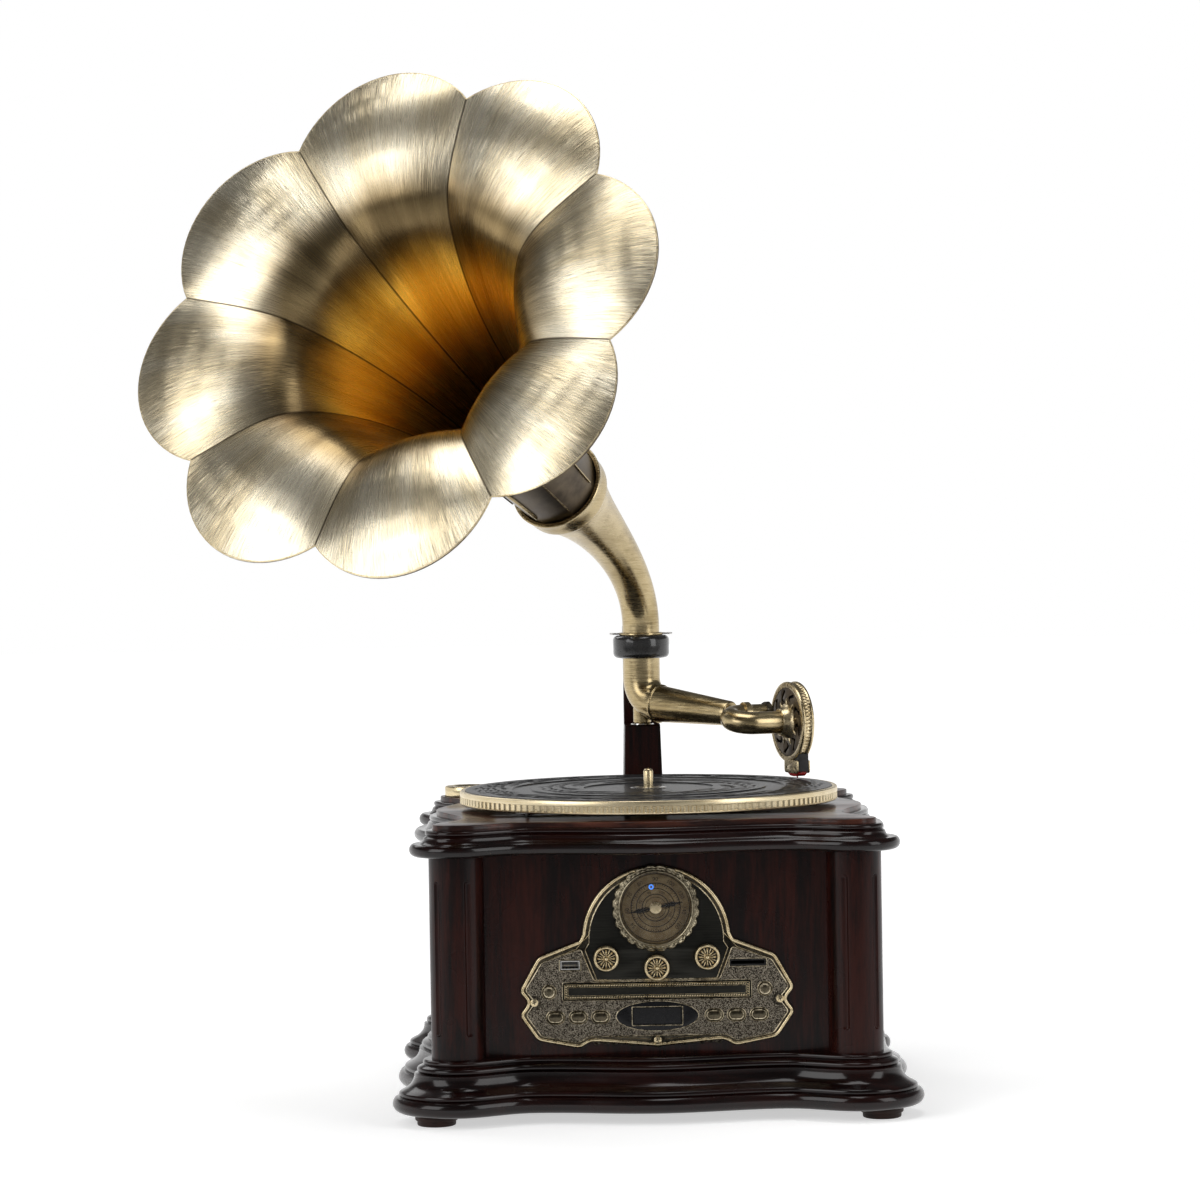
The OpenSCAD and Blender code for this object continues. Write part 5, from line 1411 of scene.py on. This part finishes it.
def build_box_back():
    """The slotted back plate of the soundbox, a black disc behind it as painted shade, and its hub."""
    shape = Shape()
    slots = []
    for k in range(9):
        left, right = [], []
        for i in range(9):
            t = i / 8
            r = 15.6 + 9.0 * t
            a = math.radians(k * 40 + 8 * math.sin(math.pi * 1.6 * t) - 3)
            half = (1.1 + 1.4 * t) * math.sin(math.pi * min(1, 0.25 + t * 0.75) * 0.9) ** 0.4
            left.append((r * math.cos(a) - half * math.sin(a), r * math.sin(a) + half * math.cos(a)))
            right.append((r * math.cos(a) + half * math.sin(a), r * math.sin(a) - half * math.cos(a)))
        slots.append(left + right[::-1])
    hub_hole = circle(0, 0, 9.2, 48)
    shape.sheet([circle(0, 0, 26.3, 96), hub_hole] + slots, 0.9, 2.3, 0.2)
    shape.build("back_plate", "head", "horn_back", BOX @ at(0, 0, 3.2) @ turn("X", 180))
    # A near-black disc behind the slots: painted shade inside the soundbox
    shape = Shape()
    shape.lathe([(0, 3.0), (26.2, 3.0), (26.2, 3.6), (0, 3.6)], 64, loop=False)
    shape.build("back_dark", "head", "ink", BOX)
    shape = Shape()
    shape.lathe([(8.8, -6), (9.9, -6), (10.3, -5.6), (10.6, -4.8), (10.4, -4.4), (11.6, -2.0), (13.2, 0.2),
                 (14.2, 0.6), (14.2, 1.6), (8.8, 1.6)], 64)
    finger = ((13.4, 0.8), (15, 0.75), (17, 0.8), (18.5, 1.1))
    for k in range(9):
        a = math.radians(20 + 40 * k)
        shape.sweep([(*polar(r, a), z) for r, z in finger], [1.3, 1.1, 0.8, 0.3], 10, flat=0.6)
    shape.build("back_hub", "head", "gold", BOX, ["soundbox_back"])


def build_stylus():
    """The cartridge under the soundbox and its red stylus."""
    shape = Shape()
    body = arc(0, 0, BOX_R + 0.15, 7.2, -39.9, 12) + [(37.5, -20), (37.5, 4)]
    shape.sheet([body], 1.35, 9.65, 0.4, True)
    shape.build("cartridge_look", "head", "black_plastic", BOX, ["cartridge"], 30)

    shape = Shape()
    wedge = [(37.45, -17), (37.45, 1), (39.4, 1.6), (41.3, -2.4), (41.6, -9), (41.2, -14), (39.4, -17.6)]
    shape.sheet([rounded(wedge, 1.0, 4)], 1.7, 9.3, 0.5, True)
    shape.place = shift(41, -8, 5.5) @ turn("Y", 90)
    shape.lathe([(0, -0.4), (1.0, -0.4), (1.0, 0.2), (0.55, 1.2), (0.25, 2.1), (0, 2.15)], 20, loop=False)
    shape.build("stylus_look", "head", "red", BOX, ["stylus"], 30)


# The horn


def seam_radius(s):
    """How far the seams lie from the axis, a distance s behind the mouth."""
    return THROAT_R + (SEAM_MOUTH_R - THROAT_R) * (0.6 * math.exp(-s / 95) + 0.4 * math.exp(-s / 6.5))


def seam_slope(s):
    return -(SEAM_MOUTH_R - THROAT_R) * (0.6 / 95 * math.exp(-s / 95) + 0.4 / 6.5 * math.exp(-s / 6.5))


def bulge(s):
    half = math.pi / PETALS
    rim = (PETAL_R / SEAM_MOUTH_R - math.cos(half)) / math.sin(half)
    return 0.125 + (rim - 0.125) * math.exp(-s / 6)


def swell(s):
    """How far the middle of a petal stands up from its seams, towards the mouth."""
    return PETAL_SWELL * (1 - math.exp(-s / 1.6)) * math.exp(-(s / 45) ** 2)


def petal_point(r, b, k, v, shift=0.0):
    """A place across petal k, v from -1 to 1, at a seam radius r and a bulge b, moved in towards the axis."""
    half = math.pi / PETALS
    c = r * math.sin(half)
    h = b * c
    rho = (c * c + h * h) / (2 * h)
    a = v * math.asin(min(1.0, c / rho))
    x = r * math.cos(half) + h - rho + rho * math.cos(a) - shift
    y = rho * math.sin(a)
    t = math.radians(FIRST_SEAM) + (k + 0.5) * 2 * math.pi / PETALS
    return x * math.cos(t) - y * math.sin(t), x * math.sin(t) + y * math.cos(t)


def horn_ring(s, out, steps):
    """One closed ring of the horn, a distance s behind the mouth, moved outwards along the wall's normal."""
    m = seam_slope(s)
    w = out / math.sqrt(1 + m * m)
    ring = []
    for k in range(PETALS):
        for j in range(steps):
            v = 2 * j / steps - 1
            up = swell(s) * (1 - v * v) / math.sqrt(1 + m * m)
            x, y = petal_point(seam_radius(s) + w, bulge(s), k, v, up)
            ring.append((x, y, HORN_LEN - s + m * (w - up)))
    return ring


def elbow_stations(count):
    """The elbow's centreline in its own plane: outward, height, tilt in radians, radius."""
    b = math.radians(HORN_TILT)
    out = Vector((math.cos(b), math.sin(b)))
    lip = Vector((LIP_OUT, Z_LIP))
    foot = 341
    p3 = lip - out * 25
    p = [Vector((0, foot + 4)), Vector((0, foot + 55)), p3 - out * 43.5, p3]
    stations = [(0, foot, math.pi / 2, TUBE_R), (0, foot + 2, math.pi / 2, TUBE_R)]
    for i in range(count + 1):
        t = i / count
        place = (1 - t) ** 3 * p[0] + 3 * (1 - t) ** 2 * t * p[1] + 3 * (1 - t) * t * t * p[2] + t ** 3 * p[3]
        move = (1 - t) ** 2 * (p[1] - p[0]) + 2 * (1 - t) * t * (p[2] - p[1]) + t * t * (p[3] - p[2])
        stations.append((place.x, place.y, math.atan2(move.y, move.x), TUBE_R + 16.5 * t ** 2.6))
    for d in (1.5, 3, 4.5, 6, 7.5, 9, 15, 22):
        place = p3 + out * d
        stations.append((place.x, place.y, b, 31 + 3.9 * smooth_step(d / 9)))
    return stations


def build_horn(settings):
    steps = settings.petal_steps
    rows = settings.horn_rows
    depths = [(HORN_LEN + HORN_IN) * (i / rows) ** 2.2 for i in range(rows + 1)]
    shape = Shape()
    inner = [horn_ring(s, 0, steps) for s in depths]
    shape.skin(inner, caps=False)
    shape.slot = 1
    shape.skin([inner[0]] + [horn_ring(s, HORN_WALL, steps) for s in depths] + [inner[-1]], caps=False)
    shape.build("bell_look", "horn", ["horn", "horn_back"], HORN, ["horn_bell"], 10, True)

    # The standing seams outside
    shape = Shape()
    for k in range(PETALS):
        rows_of = []
        for s in depths[4::2]:
            if s > HORN_LEN - 6:
                break
            tall = settings.seam_height / MM * smooth_step((s - 1.5) / 12) + 0.05
            m = seam_slope(s)
            norm = math.sqrt(1 + m * m)
            x, y = petal_point(seam_radius(s), bulge(s), k, -1)
            r0 = math.hypot(x, y)
            ux, uy = x / r0, y / r0
            ring = []
            for d, side in ((0.9, -0.45), (HORN_WALL + tall, -0.3), (HORN_WALL + tall, 0.3), (0.9, 0.45)):
                r = r0 + d / norm
                ring.append((r * ux - side * uy, r * uy + side * ux, HORN_LEN - s + m * d / norm))
            rows_of.append(ring)
        shape.skin(rows_of)
    shape.build("bell_seams", "horn", "antique_brass", HORN, in_place=True)

    shape = Shape()
    shape.sweep(horn_ring(0.05, HORN_WALL / 2, steps), 0.7, 10, loop=True)
    shape.build("bell_rim", "horn", "gold", HORN, in_place=True)

    build_elbow(settings.elbow_rows)
    build_swivel()


def build_elbow(count):
    """The curved tube between the collar and the bell, with its rolled lip."""
    stations = elbow_stations(count)

    def ring(station, r):
        out, up, tilt = station[:3]
        return [(out - r * math.cos(a) * math.sin(tilt), r * math.sin(a),
                 up + r * math.cos(a) * math.cos(tilt))
                for a in around(96)]

    b = math.radians(HORN_TILT)
    loops = [ring(s, s[3]) for s in stations]
    for d, grow in ((-2.2, 0.2), (-1.9, 1.0), (-1.2, 1.5), (-0.4, 1.6), (0.2, 1.2), (0.4, 0.5), (0.2, -0.3)):
        lip = (LIP_OUT + d * math.cos(b), Z_LIP + d * math.sin(b), b)
        loops.append(ring(lip, SOCKET_R + TUBE_WALL + grow))
    loops.append(ring((LIP_OUT, Z_LIP, b), SOCKET_R))
    loops += [ring(s, s[3] - TUBE_WALL) for s in reversed(stations)]
    shape = Shape()
    shape.skin(loops, loop=True)
    shape.build("elbow_look", "horn", "antique_brass", ELBOW, ["horn_elbow"], 35, True)


def build_swivel():
    shape = Shape()
    z = Z_COLLAR_TOP + 0.3
    shape.lathe([(12.5, z - 8.1), (TUBE_R, z - 8.1), (TUBE_R, z), (17, z), (17.5, z + 0.4), (17.4, z + 1.3),
                 (16.9, z + 1.7), (12.5, z + 1.7)], 72)
    shape.slot = 1
    for side in (-1, 1):
        ear = [oval(side * 20.8, 0, 8, 6), circle(side * 21.6, 0, 1.3, 20)]
        shape.sheet(ear, z + 0.2, z + 1.5, 0.3, True)
        shape.sheet([box(side * 17, 0, 3, 5.4)], z + 0.2, z + 1.5, 0.2)
    shape.build("swivel_look", "horn", ["antique_brass", "steel"], at(0, ARM_Y, 0), ["horn_swivel"],
                40, True)


# The stage

CAMERA_LENS = 127.29
CAMERA_PLACE = (-0.08569, -3.2, 0.45681)
CAMERA_YAW, CAMERA_PITCH, CAMERA_ROLL = 0.92, -1.533, 0.928


def build_stage(settings):
    bpy.context.scene.view_settings.view_transform = "Standard"
    floor = build_floor(settings.floor_glow)
    build_world(settings.sky_shade)
    lamps = build_lamps(settings)
    build_camera()


def build_floor(near_glow):
    """A white floor, which glows where the camera sees it and in reflections."""
    shape = Shape()
    size = 9000.0
    shape.skin([[(-size, -size, -1), (size, -size, -1)], [(-size, size, -1), (size, size, -1)]], ring=False)
    mesh = bpy.data.meshes.new("floor")
    mesh.from_pydata([p * MM for p in shape.points], [], shape.faces)
    floor = bpy.data.objects.new("floor", mesh)
    floor.location.z = MM
    bpy.context.scene.collection.objects.link(floor)
    shader = Shader(bpy.data.materials.new("floor"))
    cloud = shader.noise(shader.place() * 3.0, 1.0, 2.0)
    paint = shader.blend(cloud, (0.80, 0.80, 0.80), (0.82, 0.82, 0.82))
    seen = shader.node("ShaderNodeLightPath")
    rays = [Value(shader, seen.socket.node.outputs[name]) for name in
            ("Is Camera Ray", "Is Glossy Ray", "Is Transmission Ray")]
    diffuse = shader.node("ShaderNodeBsdfDiffuse", None, {"Color": paint})
    x, y, _ = shader.axes(shader.place())
    far = shader.math("SQRT", x * x + y * y)
    glow = shader.span(far, 0.3, 3.0, near_glow, 1.0)
    front = shader.span(y, -1.3, -0.3, 0.0, 1.0)
    rays_in = shader.math("MAXIMUM", rays[0], (rays[1] + rays[2]) * front)
    glow = shader.node("ShaderNodeEmission", None, {"Color": (1, 1, 1), "Strength": rays_in * glow})
    both = shader.node("ShaderNodeAddShader", None, {0: diffuse, 1: glow})
    shader.node("ShaderNodeOutputMaterial", None, {"Surface": both})
    mesh.materials.append(shader.owner)
    return floor


def build_world(sky_shade):
    """A bright band at the horizon under a darker sky."""
    world = bpy.data.worlds.new("studio")
    bpy.context.scene.world = world
    shader = Shader(world)
    way = shader.node("ShaderNodeTexCoord", output="Generated")
    _, ahead, up = shader.axes(way)
    band = shader.span(up, 0.16, 0.36, 1.0, 0.0) * shader.span(ahead, -0.75, 0.1, 0.2, 1.0)
    sky = shader.blend(band, (sky_shade,) * 3, 1.0)
    light = shader.node("ShaderNodeBackground", None, {"Color": sky, "Strength": 1.0})
    shader.node("ShaderNodeOutputWorld", None, {"Surface": light})


def build_lamps(settings):
    lamps = []
    for name, place, aim, wide, tall, power in (
            ("left_softbox", (-1.9, -1.5, 1.3), (-0.1, 0, 0.45), 1.5, 1.7, settings.left_power),
            ("right_softbox", (1.7, -1.3, 1.0), (0, 0, 0.3), 0.9, 1.5, settings.right_power),
            ("top_softbox", (-0.2, -0.2, 2.2), (-0.1, 0, 0.4), 1.5, 1.1, settings.top_power),
            ("back_softbox", (-1.2, 1.6, 1.6), (-0.1, 0, 0.4), 0.9, 0.9, settings.back_power)):
        data = bpy.data.lights.new(name, "AREA")
        data.shape = "RECTANGLE"
        data.size = wide
        data.size_y = tall
        data.energy = power
        lamp = bpy.data.objects.new(name, data)
        lamp.location = place
        lamp.rotation_euler = (Vector(aim) - Vector(place)).to_track_quat("-Z", "Y").to_euler()
        bpy.context.scene.collection.objects.link(lamp)
        lamps.append(lamp)
    return lamps


def build_camera():
    """The camera, far in front of the control plate, with a long lens."""
    data = bpy.data.cameras.new("camera")
    data.lens = CAMERA_LENS
    data.sensor_width = 36.0
    data.clip_end = 100.0
    camera = bpy.data.objects.new("camera", data)
    yaw, pitch, roll = (math.radians(a) for a in (CAMERA_YAW, CAMERA_PITCH, CAMERA_ROLL))
    ahead = Vector((math.sin(yaw) * math.cos(pitch), math.cos(yaw) * math.cos(pitch), math.sin(pitch)))
    right = Vector((math.cos(yaw), -math.sin(yaw), 0))
    up = right.cross(ahead)
    side = right * math.cos(roll) - up * math.sin(roll)
    top = right * math.sin(roll) + up * math.cos(roll)
    turned = Matrix((side, top, -ahead)).transposed().to_4x4()
    camera.matrix_world = shift(*CAMERA_PLACE) @ turned
    bpy.context.scene.collection.objects.link(camera)
    bpy.context.scene.camera = camera


# CAD nodes that stay in sight, with the look each one takes
KEPT = {
    "bottom_board": "inner_wood", "front_panel": "mahogany", "side_panels": "mahogany",
    "rear_panel": "mahogany", "control_board": "board", "rotary_controls": "steel",
    "disc_drive": "black_plastic", "main_board": "board",
    "power_transformer": "iron", "speakers": "black_plastic", "rear_sockets": "black_plastic",
    "turntable_motor": "steel", "platter_bearing": "gold", "drive_belt": "rubber", "motor_pulley": "steel",
    "power_switch": "black_plastic",
}


def dress_kept_nodes():
    for name, look in KEPT.items():
        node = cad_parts[name]
        node.data.materials.clear()
        node.data.materials.append(finish(look))


# The add-on


class ColourSettings(bpy.types.PropertyGroup):
    """The lighter colour of some looks, each under its look's own name"""
    mahogany: bpy.props.FloatVectorProperty(
        name="Walls", description="Lighter grain of the walls, the columns and the pillar",
        default=lighter("mahogany"), subtype="COLOR")
    mahogany_x: bpy.props.FloatVectorProperty(
        name="Mouldings", description="Lighter grain of the mouldings",
        default=lighter("mahogany_x"), subtype="COLOR")
    mahogany_deck: bpy.props.FloatVectorProperty(
        name="Deck", description="Lighter grain of the deck",
        default=lighter("mahogany_deck"), subtype="COLOR")
    horn: bpy.props.FloatVectorProperty(
        name="Horn", description="Rubbed metal of the petals",
        default=lighter("horn"), subtype="COLOR")
    antique_brass: bpy.props.FloatVectorProperty(
        name="Arm and elbow", description="Rubbed metal of the arm and the elbow",
        default=lighter("antique_brass"), subtype="COLOR")
    gold: bpy.props.FloatVectorProperty(
        name="Trim", description="Rubbed metal of the plate's rim, the knobs and the soundbox",
        default=lighter("gold"), subtype="COLOR")
    champagne: bpy.props.FloatVectorProperty(
        name="Platter", description="Rubbed metal of the platter",
        default=lighter("champagne"), subtype="COLOR")
    rubber: bpy.props.FloatVectorProperty(
        name="Mat", description="Lighter patches of the mat",
        default=lighter("rubber"), subtype="COLOR")


class CabinetSettings(bpy.types.PropertyGroup):
    flute_depth: bpy.props.FloatProperty(
        name="Flute depth", description="How deep the columns' flutes are cut", default=0.0016, unit="LENGTH")
    flute_width: bpy.props.FloatProperty(
        name="Flute half width", description="Half the width of a flute", default=0.0022, unit="LENGTH")


class PlateSettings(bpy.types.PropertyGroup):
    bead_pitch: bpy.props.FloatProperty(
        name="Bead pitch", description="Distance between the ropes' beads", default=0.0016, unit="LENGTH")
    knob_petals: bpy.props.IntProperty(
        name="Knob petals", description="Petals of the flower on each knob", default=8, min=3)


class TurntableSettings(bpy.types.PropertyGroup):
    rim_teeth: bpy.props.IntProperty(
        name="Rim teeth", description="Notches round the platter's rim", default=150, min=3)
    mat_ribs: bpy.props.IntProperty(
        name="Mat ribs", description="Curved hollows in the mat's inner band", default=9, min=1)


class ArmSettings(bpy.types.PropertyGroup):
    tube_steps: bpy.props.IntProperty(
        name="Tube steps", description="Steps round each tube", default=72, min=8)
    knurl_ribs: bpy.props.IntProperty(
        name="Knurl ribs", description="Ribs round the soundbox", default=64, min=3)


class HornSettings(bpy.types.PropertyGroup):
    petal_steps: bpy.props.IntProperty(
        name="Petal steps", description="Steps across a petal", default=24, min=4)
    horn_rows: bpy.props.IntProperty(
        name="Rows", description="Rings between the mouth and the throat", default=110, min=8)
    elbow_rows: bpy.props.IntProperty(
        name="Elbow rows", description="Rings along the elbow", default=64, min=8)
    seam_height: bpy.props.FloatProperty(
        name="Seam height", description="Height of the standing seams outside", default=0.0018, unit="LENGTH")


class StageSettings(bpy.types.PropertyGroup):
    floor_glow: bpy.props.FloatProperty(
        name="Floor glow", description="Light added to the floor as seen", default=0.55, subtype="FACTOR")
    sky_shade: bpy.props.FloatProperty(
        name="Sky shade", description="Brightness of the world overhead", default=0.11, subtype="FACTOR")
    left_power: bpy.props.FloatProperty(
        name="Left lamp", description="Power of the left softbox", default=24.0, unit="POWER")
    right_power: bpy.props.FloatProperty(
        name="Right lamp", description="Power of the right softbox", default=12.0, unit="POWER")
    top_power: bpy.props.FloatProperty(
        name="Top lamp", description="Power of the top softbox", default=18.0, unit="POWER")
    back_power: bpy.props.FloatProperty(
        name="Back lamp", description="Power of the lamp behind", default=5.0, unit="POWER")


class HORNSTEREO_OT_cabinet(bpy.types.Operator):
    """Builds the cabinet, its pillar and its fittings"""
    bl_idname = "hornstereo.cabinet"
    bl_label = "Build Cabinet"

    def execute(self, context):
        build_cabinet(context.scene.hornstereo_cabinet)
        dress_kept_nodes()
        return {"FINISHED"}


class HORNSTEREO_OT_plate(bpy.types.Operator):
    """Builds the control plate, the dial and the sockets"""
    bl_idname = "hornstereo.plate"
    bl_label = "Build Control Plate"

    def execute(self, context):
        build_plate(context.scene.hornstereo_plate)
        return {"FINISHED"}


class HORNSTEREO_OT_controls(bpy.types.Operator):
    """Builds the knobs, the buttons and the disc tray"""
    bl_idname = "hornstereo.controls"
    bl_label = "Build Controls"

    def execute(self, context):
        build_controls(context.scene.hornstereo_plate)
        return {"FINISHED"}


class HORNSTEREO_OT_turntable(bpy.types.Operator):
    """Builds the platter, the mat, the spindle and the record adapter"""
    bl_idname = "hornstereo.turntable"
    bl_label = "Build Turntable"

    def execute(self, context):
        build_turntable(context.scene.hornstereo_turntable)
        return {"FINISHED"}


class HORNSTEREO_OT_arm(bpy.types.Operator):
    """Builds the arm, the bent tube and the soundbox"""
    bl_idname = "hornstereo.arm"
    bl_label = "Build Arm"

    def execute(self, context):
        build_arm(context.scene.hornstereo_arm)
        return {"FINISHED"}


class HORNSTEREO_OT_horn(bpy.types.Operator):
    """Builds the horn, its elbow and the swivel"""
    bl_idname = "hornstereo.horn"
    bl_label = "Build Horn"

    def execute(self, context):
        build_horn(context.scene.hornstereo_horn)
        return {"FINISHED"}


class HORNSTEREO_OT_stage(bpy.types.Operator):
    """Sets up the floor, the lamps, the world and the camera"""
    bl_idname = "hornstereo.stage"
    bl_label = "Build Stage"

    def execute(self, context):
        build_stage(context.scene.hornstereo_stage)
        return {"FINISHED"}


SETTINGS = {
    "hornstereo_colours": ColourSettings,
    "hornstereo_cabinet": CabinetSettings,
    "hornstereo_plate": PlateSettings,
    "hornstereo_turntable": TurntableSettings,
    "hornstereo_arm": ArmSettings,
    "hornstereo_horn": HornSettings,
    "hornstereo_stage": StageSettings,
}

OPERATORS = (HORNSTEREO_OT_cabinet, HORNSTEREO_OT_plate, HORNSTEREO_OT_controls, HORNSTEREO_OT_turntable,
             HORNSTEREO_OT_arm, HORNSTEREO_OT_horn, HORNSTEREO_OT_stage)


class HORNSTEREO_PT_panel(bpy.types.Panel):
    """Settings and build buttons of the horn stereo"""
    bl_idname = "HORNSTEREO_PT_panel"
    bl_label = "Horn Stereo"
    bl_space_type = "VIEW_3D"
    bl_region_type = "UI"
    bl_category = "Horn Stereo"

    def draw(self, context):
        for name, group in SETTINGS.items():
            column = self.layout.box().column()
            for setting in group.__annotations__:
                column.prop(getattr(context.scene, name), setting)
        for operator in OPERATORS:
            self.layout.operator(operator.bl_idname)


def register():
    for group in SETTINGS.values():
        bpy.utils.register_class(group)
    for operator in OPERATORS:
        bpy.utils.register_class(operator)
    bpy.utils.register_class(HORNSTEREO_PT_panel)
    for name, group in SETTINGS.items():
        setattr(bpy.types.Scene, name, bpy.props.PointerProperty(type=group))


def unregister():
    for name in SETTINGS:
        delattr(bpy.types.Scene, name)
    bpy.utils.unregister_class(HORNSTEREO_PT_panel)
    for operator in reversed(OPERATORS):
        bpy.utils.unregister_class(operator)
    for group in reversed(list(SETTINGS.values())):
        bpy.utils.unregister_class(group)


def main():
    register()
    bpy.ops.hornstereo.cabinet()
    bpy.ops.hornstereo.plate()
    bpy.ops.hornstereo.controls()
    bpy.ops.hornstereo.turntable()
    bpy.ops.hornstereo.arm()
    bpy.ops.hornstereo.horn()
    bpy.ops.hornstereo.stage()


if __name__ == "__main__":
    main()
